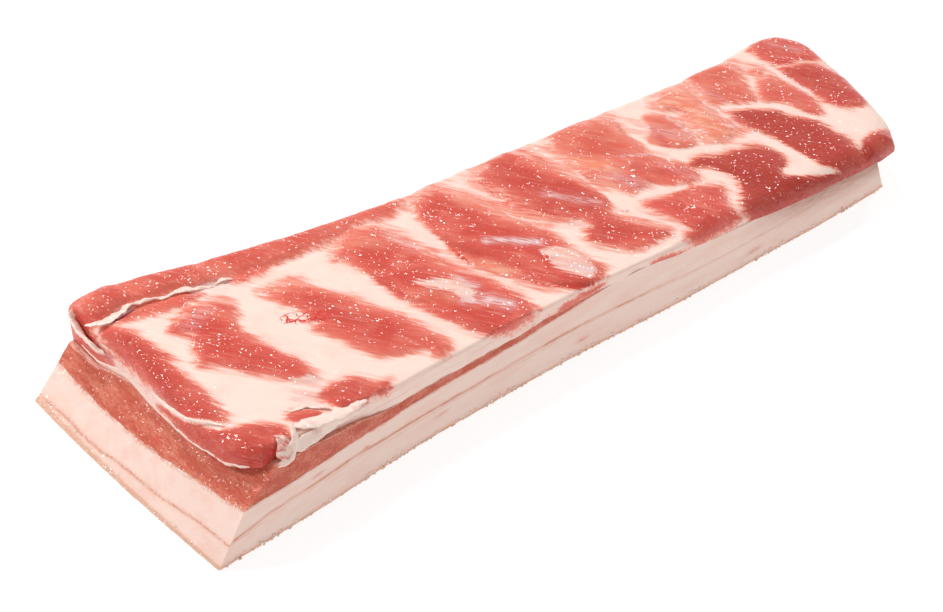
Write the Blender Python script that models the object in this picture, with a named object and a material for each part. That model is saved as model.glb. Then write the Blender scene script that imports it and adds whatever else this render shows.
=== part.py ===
"""Slab of raw pork belly with its rind on, laid rind down: back fat, lower lean and rib layer.

Each layer is the skin of a bent box. Its six faces share one lattice, and the place of every
lattice point follows from the outline of the slab, the heights of the seams between the layers
and the relief of the rib muscles. x runs along the slab from its thick end, y across it from the
long cut side, z up from the rind. Lengths are in millimetres until a mesh is made.
"""

import bpy
import numpy as np

METRES_PER_MM = 0.001

# Driving dimensions of the slab, in millimetres.
BUTT_WIDTH = 152.0              # width of the thick end along the rind
SEAM_GAP = 0.32                 # air between two layers
BUTT_SWEEP = 8.5                # how far the thick end runs out towards its back corner
FAT_LEAN = (0.57, 1.14)         # run per rise of the fat's cut face, front and back corner
MEAT_LEAN = (1.30, 0.86)        # the same for the lower lean, which recedes faster at the front
FAR_SLANT = 0.4                 # run per rise of the fat's far end, whose foot sticks out
FAR_SLANT_FROM = 8.0            # height at which the far end stands where its outline says
THINNEST_LEAN = 1.1             # the lower lean ends where it would get thinner than this
RIB_SWELL = 1.3                 # height of a rib muscle above the fat beside it
GROOVE_DEPTH = 0.7              # depth of the troughs that the ribs left

# Outlines seen from above: (x, y) of the long cut side and of the back side.
CUT_SIDE = ((-9, 0.0), (5, -1.0), (25, -0.6), (60, 0.9), (100, 3.4), (140, 4.9), (200, 4.8),
            (240, 3.6), (289, 1.1), (340, 0.2), (400, -1.0), (440, -0.7), (476, 3.5))
BACK_SIDE = ((-9, 152), (18, 154.5), (36, 154.5), (55, 147.5), (80, 140), (110, 133.5), (145, 127.5),
             (190, 122.5), (240, 121), (300, 117.5), (350, 115.5), (400, 112.5), (425, 113), (450, 116),
             (482, 113))
# Ends seen from above, as (share of the width, x).
FLAP_EDGE = ((0.0, 32), (0.05, 26), (0.13, 22), (0.3, 20), (0.5, 20), (0.68, 22), (0.85, 19), (1.0, 19))
FAR_FAT = ((0.0, 449), (0.1, 457), (0.3, 465), (0.6, 469), (1.0, 467))
FAR_MEAT = ((0.0, 455), (0.12, 467), (0.35, 476), (0.6, 481), (0.85, 483), (1.0, 476))
# How far the flap over the thick end stands back from the cut side.
FLAP_SET_BACK = ((25, 5.5), (50, 4.5), (75, 3), (115, 0), (340, 0), (385, -2.2), (440, -2.6), (476, -1.5))

# Heights along x: top of the back fat and thickness of the lower lean, at the cut side and at the
# back side. A lean thickness below zero says that the lean has run out there.
FAT_AT_CUT = ((10, 29), (60, 29.8), (120, 30.8), (180, 31.8), (205, 33.5), (240, 37.5), (265, 38.8),
              (285, 37), (320, 32.8), (370, 29.5), (420, 27), (476, 23.5))
FAT_AT_BACK = ((0, 15), (150, 19), (300, 20), (476, 17))
LEAN_AT_CUT = ((17, 15.5), (45, 16), (80, 11.5), (105, 7.3), (150, 5.2), (205, 4.0), (235, 1.8),
               (262, -2), (320, -9), (476, -12))
LEAN_AT_BACK = ((0, 8.5), (150, 9), (300, 8), (476, 7))
TOP_OF_SLAB = ((15, 51.5), (60, 52), (150, 48.5), (250, 45), (350, 41), (450, 36.5), (476, 35))
# Radius of the upper edge along x, at the cut side and at the back side.
EDGE_AT_CUT = ((20, 9), (60, 3.5), (285, 3.5), (315, 9), (400, 11), (476, 12))
EDGE_AT_BACK = ((20, 9), (60, 7), (150, 5.5), (476, 8))

# Rib muscles: near and far edge of each at its back end, middle and front end, as
# (y back, y front), (x, x) back, (x, x) middle, (x, x) front.
RIB_MUSCLES = (
    ((121, 38), (20, 34), (18, 35), (25, 36)),
    ((113, 32), (46, 80), (54, 82), (79, 86)),
    ((104, 9), (99, 116), (108, 141), (134, 153)),
    ((113, 3), (146, 178), (151, 188), (172, 201)),
    ((117, 4), (198, 226), (198, 240), (228, 249)),
    ((118, 11), (248, 278), (248, 290), (275, 300)),
    ((116, 48), (292, 338), (292, 340), (304, 335)),
    ((42, -9), (299, 322), (301, 342), (304, 338)),
    ((98, 60), (351, 361), (343, 366), (352, 364)),
    ((50, -9), (343, 352), (341, 385), (338, 398)),
    ((109, 60), (371, 391), (368, 391), (374, 386)),
    ((70, -3), (390, 399), (395, 425), (404, 432)),
    ((112, 72), (398, 428), (394, 425), (400, 416)),
    ((88, 42), (426, 441), (420, 446), (430, 443)),
    ((113, 28), (446, 473), (447, 471), (452, 468)),
)

# The strip of lean rolled up along the back side of the thick end, and the crease before it.
ROLL_RIDGE = ((16, 143), (40, 141.5), (60, 136), (90, 129.5), (145, 120), (200, 116))
ROLL_LENGTH = 150.0
ROLL_HEIGHT = 4.6
ROLL_HALF_WIDTH = 9.0
CREASE_OFFSET = -12.0
CREASE_DEPTH = 2.4
CREASE_HALF_WIDTH = 3.0

# Torn scraps on the corner of the flap: (x, y, half-width, height).
CORNER_SCRAPS = ((44, 4, 6.0, 2.2), (62, 5, 7.0, 1.6), (78, 6, 6.0, 1.2), (30, 10, 7.0, 1.4))

# Lattice of each layer: cells along x, across y and up the wall.
RIB_CELLS = (62, 22)
LEAN_CELLS = (40, 13, 2)
FAT_CELLS = (42, 13, 3)
RIB_WALL_CELLS = 2
RIB_EDGE_CELLS = 4


def curve(points, at):
    """Smooth curve through (position, value) points that never swings past them.

    Its pieces are cubic, and the slope at a point is the harmonic mean of those on both sides, or
    level where they differ in sign.
    """
    knots, values = np.array(points, dtype=float).T
    sides = np.diff(values) / np.diff(knots)
    agree = sides[:-1] * sides[1:] > 0
    both = np.where(agree, sides[:-1] + sides[1:], 1)
    slopes = np.concatenate((sides[:1], np.where(agree, 2 * sides[:-1] * sides[1:] / both, 0), sides[-1:]))
    at = np.clip(at, knots[0], knots[-1])
    piece = np.clip(np.searchsorted(knots, at, side="right") - 1, 0, len(knots) - 2)
    width = knots[piece + 1] - knots[piece]
    t = (at - knots[piece]) / width
    rise = values[piece + 1] - values[piece]
    start_bend = slopes[piece] * width - rise
    end_bend = rise - slopes[piece + 1] * width
    return values[piece] + rise * t + t * (1 - t) * ((1 - t) * start_bend + t * end_bend)


def between(pair, share):
    """Straight blend from the first value of a pair to the second."""
    return pair[0] + (pair[1] - pair[0]) * share


def bump(distance, half_width):
    """Bell of height 1 that fades out over its half-width."""
    return np.exp(-(distance / half_width) ** 2)


def share_across(x, y):
    """Share of the width at a point: 0 on the cut side, 1 on the back side."""
    front = curve(CUT_SIDE, x)
    return np.clip((y - front) / (curve(BACK_SIDE, x) - front), 0, 1)


def lean_thickness(x, share):
    """Thickness of the lower lean before it is kept above zero."""
    at_back = curve(LEAN_AT_BACK, x)
    belly = 4.0 * bump(share - 0.62, 0.2) * np.exp(-np.clip(x - 20, 0, None) / 60)
    return at_back + (curve(LEAN_AT_CUT, x) - at_back) * (1 - share) ** 2 + belly


def fat_top(x, y):
    """Height of the seam on the back fat: high at the cut side, flattening to the back."""
    at_back = curve(FAT_AT_BACK, x)
    return at_back + (curve(FAT_AT_CUT, x) - at_back) * (1 - share_across(x, y)) ** 2


def meat_bottom(x, y):
    """Height of the seam under the rib layer: the fat plus a lean that never goes below zero."""
    thickness = lean_thickness(x, share_across(x, y))
    return fat_top(x, y) + 0.5 * (thickness + np.sqrt(thickness ** 2 + 0.8))


def muscle_cover(x, y):
    """How far a point lies inside a rib muscle, from 0 outside to 1 well inside."""
    cover = np.zeros_like(x)
    for (back, front), at_back, at_middle, at_front in RIB_MUSCLES:
        t = np.clip((back - y) / (back - front), 0, 1)
        blends = ((1 - t) * (1 - 2 * t), 4 * t * (1 - t), t * (2 * t - 1))
        near = sum(b * edge[0] for b, edge in zip(blends, (at_back, at_middle, at_front)))
        far = sum(b * edge[1] for b, edge in zip(blends, (at_back, at_middle, at_front)))
        depth = np.minimum(np.minimum(x - near, far - x), np.minimum(back - y, y - front))
        inside = np.clip((depth + 3.0) / 8.0, 0, 1)
        cover = np.maximum(cover, inside ** 2 * (3 - 2 * inside))
    return cover


def slab_top(x, y):
    """Height of the upper surface with the rib muscles, the rolled strip, its crease and scraps."""
    height = curve(TOP_OF_SLAB, x) + (RIB_SWELL + GROOVE_DEPTH) * muscle_cover(x, y) - GROOVE_DEPTH
    across = y - curve(ROLL_RIDGE, x)
    fade = np.clip(1 - np.clip(x - 20, 0, None) / ROLL_LENGTH, 0, 1)
    height = height + ROLL_HEIGHT * fade * bump(across, ROLL_HALF_WIDTH)
    height = height - CREASE_DEPTH * fade * bump(across - CREASE_OFFSET, CREASE_HALF_WIDTH)
    for scrap_x, scrap_y, half_width, scrap_height in CORNER_SCRAPS:
        height = height + scrap_height * bump(np.hypot(x - scrap_x, y - scrap_y), half_width)
    return height


def butt_face(share, height):
    """x of the sloping cut through back fat and lower lean at the thick end."""
    x = -BUTT_SWEEP * (1 - (1 - share) ** 2)
    seam = fat_top(np.full_like(share, 12.0), share * BUTT_WIDTH)
    in_fat = np.minimum(height, seam)
    in_meat = np.maximum(height - seam, 0)
    return x + between(FAT_LEAN, share) * in_fat + between(MEAT_LEAN, share) * in_meat


def place_cut_layer(u, v, w, bottom, top, first_share):
    """Points of a layer under the flap.

    The cut face leans, so its x depends on the height while the seam's height depends on x. The
    two are settled by going round a few times from a first guess.
    """
    x = 15 + u * 445
    share = v
    for _ in range(12):
        start = first_share(x)
        share = start + (1 - start) * v
        front = curve(CUT_SIDE, x)
        y = front + share * (curve(BACK_SIDE, x) - front)
        z = between((bottom(x, y), top(x, y)), w)
        near = butt_face(share, z)
        far = curve(FAR_FAT, share) + FAR_SLANT * (FAR_SLANT_FROM - z)
        x = near + u * (far - near)
    return x, y, z


def place_back_fat(u, v, w):
    """Points of the fat that lies on the rind."""
    return place_cut_layer(u, v, w, lambda x, y: 0 * x, lambda x, y: fat_top(x, y) - SEAM_GAP / 2,
                           lambda x: 0 * x)


def lean_front_share(x):
    """Share of the width at which the lower lean runs out: 0 where it reaches the cut side."""
    to_lose = curve(LEAN_AT_BACK, x) - THINNEST_LEAN
    lost_at_cut = curve(LEAN_AT_BACK, x) - curve(LEAN_AT_CUT, x)
    return 1 - np.sqrt(to_lose / np.maximum(lost_at_cut, to_lose))


def place_lower_lean(u, v, w):
    """Points of the lean between the back fat and the rib layer."""
    return place_cut_layer(u, v, w, lambda x, y: fat_top(x, y) + SEAM_GAP / 2,
                           lambda x, y: meat_bottom(x, y) - SEAM_GAP / 2, lean_front_share)


def place_rib_layer(u, v, w):
    """Points of the rib layer: an upright wall, then a quarter round over to the top."""
    wall_share = RIB_WALL_CELLS / (RIB_WALL_CELLS + RIB_EDGE_CELLS)
    turn = np.clip((w - wall_share) / (1 - wall_share), 0, 1) * np.pi / 2
    x = 20 + u * 450
    near_edge = curve(FLAP_EDGE, v)
    far_edge = curve(FAR_MEAT, v)
    for _ in range(3):
        radius = between((curve(EDGE_AT_CUT, x), curve(EDGE_AT_BACK, x)), v)
        inset = radius * (1 - np.cos(turn))
        x = near_edge + inset + u * (far_edge - near_edge - 2 * inset)
    front = curve(CUT_SIDE, x) + curve(FLAP_SET_BACK, x) + inset
    y = front + v * (curve(BACK_SIDE, x) - inset - front)
    low = meat_bottom(x, y) + SEAM_GAP / 2
    high = slab_top(x, y)
    round_height = np.minimum(radius, 0.8 * (high - low))
    shoulder = high - round_height
    on_wall = low + (shoulder - low) * np.clip(w / wall_share, 0, 1)
    z = np.where(w <= wall_share, on_wall, shoulder + round_height * np.sin(turn))
    return x, y, z


def box_skin(cells_u, cells_v, cells_w):
    """Lattice points on the skin of a box, and its quads in terms of them, faces outwards."""
    numbers = {}

    quads = []

    def add_cell(axis, level, a, b):
        """One cell of the face at a level of an axis, turned so that it faces outwards."""
        square = [(a, b), (a + 1, b), (a + 1, b + 1), (a, b + 1)]
        outwards = square if level else square[::-1]
        places = [(*ab[:axis], level, *ab[axis:]) for ab in outwards]
        places = places[::-1] if axis == 1 else places
        quads.append([numbers.setdefault(place, len(numbers)) for place in places])

    cells = (cells_u, cells_v, cells_w)
    for axis in range(3):
        cells_a, cells_b = cells[:axis] + cells[axis + 1:]
        for level in (0, cells[axis]):
            for a in range(cells_a):
                for b in range(cells_b):
                    add_cell(axis, level, a, b)
    lattice = np.array(list(numbers), dtype=float) / (cells_u, cells_v, cells_w)
    return lattice.T, quads


def material(name, colour, roughness):
    """Material with one colour (linear), as wet or as dry as its roughness says."""
    made = bpy.data.materials.new(name)
    made.use_nodes = True
    shader = made.node_tree.nodes["Principled BSDF"]
    shader.inputs["Base Color"].default_value = (*colour, 1)
    shader.inputs["Roughness"].default_value = roughness
    shader.inputs["Metallic"].default_value = 0
    return made


def layer(name, place, cells, finish):
    """One layer: its points in millimetres, its quads and its material."""
    lattice, quads = box_skin(*cells)
    points = np.stack(place(*lattice), axis=1)
    return name, points, quads, finish


def add_layer(name, points, quads, finish, centre):
    """Object of a layer, moved so that the slab's base is centred on the origin."""
    mesh = bpy.data.meshes.new(name)
    mesh.from_pydata(((points - centre) * METRES_PER_MM).tolist(), [], quads)
    mesh.materials.append(finish)
    mesh.shade_smooth()
    mesh.validate()
    bpy.context.scene.collection.objects.link(bpy.data.objects.new(name, mesh))


def main():
    for old in list(bpy.data.objects):
        bpy.data.objects.remove(old)
    layers = (
        layer("back_fat", place_back_fat, FAT_CELLS, material("back_fat", (0.86, 0.68, 0.60), 0.45)),
        layer("lower_lean", place_lower_lean, LEAN_CELLS, material("lean", (0.52, 0.13, 0.10), 0.4)),
        layer("rib_layer", place_rib_layer, (*RIB_CELLS, RIB_WALL_CELLS + RIB_EDGE_CELLS),
              material("rib_meat", (0.62, 0.16, 0.12), 0.35)),
    )
    every_point = np.concatenate([points for _, points, _, _ in layers])
    low = every_point.min(axis=0)
    high = every_point.max(axis=0)
    centre = np.array(((low[0] + high[0]) / 2, (low[1] + high[1]) / 2, low[2]))
    for name, points, quads, finish in layers:
        add_layer(name, points, quads, finish, centre)


main()
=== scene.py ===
"""Slab of raw pork belly lying rind down: the surfaces and finishes of its layers.

The back fat, the lower lean and the rib layer are skins of bent boxes with the outlines and seam
heights of the solids that they replace, on a lattice about a millimetre fine. The rib muscles are
drawn as outlines seen from above, and each point of a skin carries its depth in the lean, from
which the finish works out fat, feathered edge and meat. Lengths are in millimetres, measured from
the near corner of the rind, until a mesh is made.
"""

import math

import bmesh
import bpy
import numpy as np
from bpy.props import FloatProperty, FloatVectorProperty, PointerProperty
from mathutils import Matrix, Vector


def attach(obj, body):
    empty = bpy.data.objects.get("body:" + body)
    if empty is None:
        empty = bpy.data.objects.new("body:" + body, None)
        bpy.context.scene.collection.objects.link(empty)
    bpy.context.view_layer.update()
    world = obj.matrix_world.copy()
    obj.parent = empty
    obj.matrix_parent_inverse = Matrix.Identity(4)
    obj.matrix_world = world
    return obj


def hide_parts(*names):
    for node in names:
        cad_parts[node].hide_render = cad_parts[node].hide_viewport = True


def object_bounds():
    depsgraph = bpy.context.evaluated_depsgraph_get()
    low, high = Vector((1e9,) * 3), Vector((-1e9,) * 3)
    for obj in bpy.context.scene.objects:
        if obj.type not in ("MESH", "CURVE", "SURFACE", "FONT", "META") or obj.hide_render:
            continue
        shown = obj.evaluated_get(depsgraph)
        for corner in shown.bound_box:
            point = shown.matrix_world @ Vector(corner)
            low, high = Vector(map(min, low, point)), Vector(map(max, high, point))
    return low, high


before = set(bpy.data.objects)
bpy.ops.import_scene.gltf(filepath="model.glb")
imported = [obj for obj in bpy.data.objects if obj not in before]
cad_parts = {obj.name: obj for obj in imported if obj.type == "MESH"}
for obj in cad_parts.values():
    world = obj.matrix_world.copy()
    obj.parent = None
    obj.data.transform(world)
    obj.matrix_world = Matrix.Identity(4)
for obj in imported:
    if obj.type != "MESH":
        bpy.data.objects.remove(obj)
CAD_BOX = [list(corner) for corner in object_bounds()]

bl_info = {
    "name": "Raw pork belly slab",
    "version": (1, 0, 0),
    "blender": (4, 5, 0),
    "location": "3D Viewport > Sidebar > Pork slab",
    "description": "Layers of a raw pork belly slab with their fat, lean and rind finishes",
    "category": "Add Mesh",
}

METRES_PER_MM = 0.001

# Kinds of shader node that are used most.
MATHS = "ShaderNodeMath"
RANGE = "ShaderNodeMapRange"
MIX = "ShaderNodeMix"
NOISE = "ShaderNodeTexNoise"
VORONOI = "ShaderNodeTexVoronoi"
VECTOR_MATHS = "ShaderNodeVectorMath"
SMOOTH = {"interpolation_type": "SMOOTHSTEP"}

# Driving dimensions of the slab.
BUTT_WIDTH = 152.0              # width of the thick end along the rind
BUTT_SWEEP = 8.5                # how far the thick end runs out towards its back corner
FAT_LEAN = (0.57, 1.14)         # run per rise of the fat's cut face, front and back corner
MEAT_LEAN = (1.30, 0.86)        # the same for the lower lean
FAR_SLANT = 0.4                 # run per rise of the fat's far end, whose foot sticks out
FAR_SLANT_FROM = 8.0            # height at which the far end stands where its outline says
THINNEST_LEAN = 1.1             # the lower lean ends where it would get thinner than this
SEAM_OVERLAP = 0.25             # how far two layers reach into each other where they are grown together
SEAM_WAVE = 0.45                # waviness of the seams between the layers

# Outlines seen from above: (x, y) of the long cut side and of the back side.
CUT_SIDE = ((-9, 0.0), (5, -1.0), (25, -0.6), (60, 0.9), (100, 3.4), (140, 4.9), (200, 4.8),
            (240, 3.6), (289, 1.1), (340, 0.2), (400, -1.0), (440, -0.7), (476, 3.5))
BACK_SIDE = ((-9, 152), (18, 154.5), (36, 154.5), (55, 147.5), (80, 140), (110, 133.5), (145, 127.5),
             (190, 122.5), (240, 121), (300, 117.5), (350, 115.5), (400, 112.5), (425, 113), (450, 116),
             (482, 113))
# Ends seen from above, as (share of the width, x).
FLAP_EDGE = ((0.0, 32), (0.05, 26), (0.13, 22), (0.3, 20), (0.5, 20), (0.68, 22), (0.85, 19), (1.0, 19))
FAR_FAT = ((0.0, 449), (0.1, 457), (0.3, 465), (0.6, 469), (1.0, 467))
FAR_MEAT = ((0.0, 455), (0.12, 467), (0.35, 476), (0.6, 481), (0.85, 483), (1.0, 476))
# How far the flap over the thick end stands back from the cut side.
FLAP_SET_BACK = ((25, 5.5), (50, 4.5), (75, 3), (115, 0), (340, 0), (385, -2.2), (440, -2.6), (476, -1.5))

# Heights along x: top of the back fat and thickness of the lower lean, at the cut side and at the
# back side. A lean thickness below zero says that the lean has run out there.
FAT_AT_CUT = ((10, 29), (60, 29.8), (120, 30.8), (180, 31.8), (205, 33.5), (240, 37.5), (265, 38.8),
              (285, 37), (320, 32.8), (370, 29.5), (420, 27), (476, 23.5))
FAT_AT_BACK = ((0, 15), (150, 19), (300, 20), (476, 17))
LEAN_AT_CUT = ((17, 15.5), (45, 16), (80, 11.5), (105, 7.3), (150, 5.2), (205, 4.0), (235, 1.8),
               (262, -2), (320, -9), (476, -12))
LEAN_AT_BACK = ((0, 8.5), (150, 9), (300, 8), (476, 7))
TOP_OF_SLAB = ((15, 51.5), (60, 52), (150, 48.5), (250, 45), (350, 41), (450, 36.5), (476, 35))
# Radius of the upper edge along x, at the cut side and at the back side.
EDGE_AT_CUT = ((20, 9), (60, 1.6), (285, 1.6), (315, 9), (400, 11), (476, 12))
EDGE_AT_BACK = ((20, 9), (60, 7), (150, 5.5), (476, 8))

# The strip of lean rolled up along the back side of the thick end, and the crease before it.
ROLL_RIDGE = ((16, 143), (40, 141.5), (60, 136), (90, 129.5), (145, 120), (200, 116))
ROLL_LENGTH = 150.0
ROLL_HEIGHT = 3.2
ROLL_HALF_WIDTH = 9.0
CREASE_OFFSET = -12.0
CREASE_DEPTH = 2.4
CREASE_HALF_WIDTH = 3.0

# Scraps on the corner of the flap: (x, y, half-width, height).
CORNER_SCRAPS = ((44, 4, 6.0, 2.2), (62, 5, 7.0, 1.6), (78, 6, 6.0, 1.2), (30, 10, 7.0, 1.4))

# The outlines of the muscles are drawn where this point, high over the near corner, sees them on
# the plane of the slab's top. So a muscle that drapes over the shoulder reaches past the edge.
EYE = (-338.5, -605.2, 781.5)
LENS = 84.0                     # mm, on a sensor 36 mm wide
SENSOR = 36.0
PITCH = 42.0                    # degrees that the eye looks down
HEADING = 39.08                 # degrees from +Y towards +X that the eye looks

# Muscles of the rib layer: (feather of the edge, tone from -1 deep red to 1 orange, outline).
MUSCLES = (
    # the flap over the thick end and its drooping corner
    (1.6, -0.25, ((20, 128), (17, 110), (16, 100), (17.5, 90), (16.5, 70), (16, 60), (17, 50), (20, 45),
                  (26, 38), (32, 33), (35, 42), (35.5, 60), (35, 70), (35, 95), (34, 105), (30, 118))),
    (0.9, -0.35, ((15, 63), (12, 58), (12, 40), (13, 24), (17, 11), (21, 3), (25, -1), (32, -3), (41, -3),
                  (48, 4), (52, 12), (50, 17), (43, 24), (35, 28), (28, 31), (21, 40), (17, 52))),
    (0.8, -0.2, ((10, 141), (4, 130), (3, 118), (6, 107), (11, 100), (15, 104), (15, 114), (16, 124),
                 (16, 135))),
    (1.2, -0.2, ((55, 18), (58, 20), (64, 17.5), (71, 11), (68, 8), (63, 7), (57, 12))),
    (1.4, -0.3, ((72, 26), (80, 24), (89, 23), (97, 21), (103, 12), (110, 8), (102, 2), (95, 4), (88, 3),
                 (78, 6), (76, 17))),
    # between the first ribs
    (1.6, -0.1, ((47, 104), (52, 108), (58, 111), (65, 112), (75, 109), (81, 101), (79, 95), (76, 88),
                 (74, 80), (75, 75), (79, 62), (80, 55), (83, 50), (84, 45), (83, 31), (76, 33), (70, 39),
                 (62, 50), (57, 56), (52, 63), (48, 68), (44, 73), (45, 78), (50, 88), (48, 95),
                 (45, 100))),
    (1.7, 0.1, ((99, 100), (112, 99), (117, 96), (121, 88), (126, 80), (131, 71), (134, 62), (139, 53),
                (143, 45), (146, 36), (148, 27), (150, 16), (149, 9), (138, 8), (137, 14), (130, 19),
                (122, 21), (117, 24), (113, 30), (110, 38), (108, 45), (105, 53), (103, 60), (106, 72),
                (104, 80), (101, 85), (99, 95))),
    (1.7, 0.0, ((153, 110), (148, 103), (143, 98), (146, 94), (149, 80), (149, 70), (150, 60), (151, 52),
                (153, 45), (157, 30), (160, 22), (165, 8), (170, 3), (177, 0), (190, 1), (198, 4),
                (200, 10), (200, 20), (196, 38), (190, 52), (187, 60), (186, 70), (181, 86), (178, 102),
                (174, 109), (163, 113))),
    (1.7, 0.0, ((203, 112), (197, 100), (196, 80), (195, 72), (193, 65), (194, 55), (199, 42), (205, 33),
                (208, 27), (217, 14), (228, 4), (235, 3), (247, 7), (249, 12), (247, 20), (245, 40),
                (243, 53), (238, 70), (234, 85), (229, 100), (222, 114), (212, 116))),
    (1.8, -0.2, ((243, 107), (242, 100), (243, 84), (243, 76), (250, 58), (256, 50), (262, 43), (255, 30),
                 (262, 20), (270, 11), (278, 9), (293, 9), (297, 13), (294, 18), (287, 28), (282, 38),
                 (285, 45), (290, 55), (289, 70), (285, 85), (281, 100), (277, 111), (268, 118),
                 (255, 115))),
    # over the middle of the slab
    (2.2, 0.2, ((300, 113), (291, 97), (290, 80), (290, 70), (298, 60), (301, 48), (312, 46), (326, 37),
                (334, 34), (341, 38), (340, 52), (334, 68), (335, 85), (336, 100), (330, 111),
                (315, 115))),
    (1.8, 0.0, ((301, 38), (315, 36), (330, 34), (340, 28), (344, 24), (343, 18), (336, 10), (333, -3),
                (318, -6), (303, -7), (297, -5), (302, 8), (303, 15), (300, 30))),
    (1.8, 0.3, ((340, 80), (345, 83), (350, 90), (353, 97), (362, 92), (365, 85), (365, 72), (360, 60),
                (352, 58), (342, 68))),
    (1.8, -0.7, ((343, 47), (352, 50), (365, 44), (376, 42), (388, 36), (392, 22), (383, 15), (381, 9),
                 (392, 0), (405, -7), (400, -22), (370, -22), (336, -18), (336, -4), (343, 8), (352, 16),
                 (355, 28), (347, 42))),
    (3.4, 0.8, ((366, 95), (368, 101), (378, 107), (390, 103), (390, 85), (387, 71), (388, 55), (370, 52),
                (366, 60), (371, 73), (371, 88))),
    (2.0, 0.2, ((398, 110), (415, 110), (425, 108), (429, 104), (429, 97), (422, 82), (417, 70),
                (410, 70), (402, 74), (393, 80), (392, 88), (398, 102))),
    (1.6, -0.75, ((391, 68), (402, 68), (408, 64), (419, 55), (420, 49), (428, 38), (429, 22), (431, 15),
                  (429, 1), (422, -20), (402, -22), (404, -5), (401, 12), (398, 28), (396, 45),
                  (391, 60))),
    (1.6, 0.15, ((419, 65), (420, 72), (430, 81), (441, 84), (442, 70), (444, 52), (437, 38), (429, 42),
                 (427, 55))),
    (1.0, 0.1, ((433, 92), (437, 93), (441, 90), (439, 86), (434, 87))),
    (1.6, -0.35, ((447, 82), (460, 82), (470, 75), (474, 60), (472, 50), (468, 33), (458, 30), (449, 38),
                  (446, 55))),
    (1.8, -0.05, ((448, 108), (460, 114), (475, 108), (482, 98), (482, 84), (474, 78), (462, 83),
                  (449, 88))),
    (1.2, -0.5, ((420, -10), (424, -3), (432, 3), (441, 8), (450, 8), (459, 2), (460, -8), (452, -24),
                 (424, -24))),
    # thin lean that shows at the top of the cut wall
    (0.7, 0.1, ((184, -4.5), (195, -4), (207, -1.5), (218, 1), (232, 1.5), (240, 0), (232, -2),
                (218, -2.5), (206, -5.5), (194, -7), (185, -6.5))),
    (0.8, 0.2, ((270, -2), (280, -2), (290, -5), (294, -8), (284, -8.5), (272, -6))),
    # the strip rolled up along the back side, whose end is a knuckle
    (1.6, 0.1, ((12, 129), (20, 128), (28, 128), (40, 132), (52, 128), (67, 124.5), (78, 119), (88, 114),
                (101, 110), (114, 112), (130, 112), (150, 111), (168, 112), (187, 110), (200, 113),
                (200, 119), (180, 124), (157, 130), (130, 136), (103, 142), (80, 149), (60, 156),
                (38, 162), (12, 160), (8, 145))),
    (1.5, 0.1, ((29, 124), (39, 121), (55, 115), (70, 114), (75, 118), (67, 123), (51, 127), (38, 128))),
)

# Strokes of fat or thin membrane laid over the lean: (x, y) to (x, y), half-width, depth taken off.
FAT_STROKES = (
    (15, 72, 18, 47, 0.8, 7), (18, 47, 25, 40, 0.9, 7), (25, 40, 27, 32, 0.9, 6),
    (24, 101, 27, 108, 1.5, 6), (53, 96, 62, 80, 1.2, 4), (52, 76, 70, 63, 1.4, 4),
    (106, 64, 115, 56, 1.5, 5), (104, 96, 117, 84, 1.2, 4), (151, 51, 159, 41, 0.6, 4),
    (159, 41, 173, 30, 0.6, 4), (164, 75, 179, 63, 0.6, 4), (167, 63, 180, 52, 0.5, 3),
    (176, 18, 185, 13, 0.5, 4), (209, 39, 214, 32, 1.0, 5), (252, 61, 267, 42, 0.6, 3),
    (286, 101, 290, 81, 1.2, 6), (290, 81, 289, 60, 1.3, 6), (289, 60, 291, 34, 1.6, 7),
    (291, 34, 296, 23, 1.9, 7), (296, 23, 308, 2, 1.5, 5), (285, 100, 299, 91, 0.8, 3),
    (299, 91, 316, 75, 0.8, 4), (313, 76, 314, 68, 1.8, 7), (314, 69, 320, 68, 1.6, 7),
    (300, 71, 311, 64, 0.9, 5), (311, 64, 316, 45, 0.9, 5), (316, 45, 318, 40, 0.8, 4),
    (331, 65, 329, 55, 0.6, 4), (329, 55, 322, 47, 0.5, 3), (338, 59, 334, 46, 0.6, 4),
    (334, 46, 329, 35, 0.6, 4), (341, 103, 336, 89, 1.1, 6), (336, 89, 339, 70, 1.3, 6),
    (339, 70, 346, 62, 1.3, 6), (303, 43, 314, 39, 1.2, 6), (314, 39, 328, 34, 1.6, 7),
    (363, 75, 364, 60, 0.5, 4), (344, 60, 368, 50, 2.0, 8), (391, 58, 390, 85, 1.0, 7),
    (395, 75, 418, 61, 0.9, 7), (446, 55, 445, 90, 1.0, 7), (383, 12, 400, -2, 2.4, 8),
    (393, 45, 397, 12, 2.4, 8), (350, 98, 358, 104, 2.0, 6), (72, 120, 88, 116, 2.2, 7),
    (421, 60, 430, 38, 1.6, 7), (370, 92, 381, 70, 0.8, 4), (377, 104, 386, 84, 0.9, 4),
    (374, 68, 384, 56, 0.9, 4),
)
# Where fat and lean run into each other over a wider or a narrower strip: the same, with the change
# of softness in mm.
SOFT_STROKES = (
    (245, 113, 246, 72, 8, 5), (284, 112, 300, 66, 8, 6), (338, 112, 338, 92, 7, 6),
    (205, 117, 262, 118, 5, 4), (58, 106, 76, 104, 6, 2.5), (200, 113, 222, 113, 6, 4),
    (432, 106, 437, 85, 6, 5), (395, 60, 398, 40, 4, 2.5), (290, 32, 298, 18, 5, 3),
    (205, 26, 222, 8, 4, 2.5), (390, 104, 388, 56, 5, 4), (367, 98, 371, 60, 4, 3),
    (99, 99, 117, 97, 6, 3), (148, 108, 172, 111, 6, 3.5), (300, 100, 330, 112, 6, 3),
    (366, 104, 392, 105, 6, 3), (178, 104, 190, 55, 6, 3.5), (229, 100, 243, 55, 6, 4),
    (281, 100, 289, 60, 4, 2), (196, 85, 194, 50, 4, -0.8), (150, 90, 150, 55, 4, -0.7),
    (103, 85, 106, 60, 4, -0.6), (244, 80, 244, 66, 3, -0.7), (20, 60, 20, 100, 4, -0.5),
    (150, 50, 160, 22, 3, -0.6), (200, 40, 228, 5, 4, -0.6),
)
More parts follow.
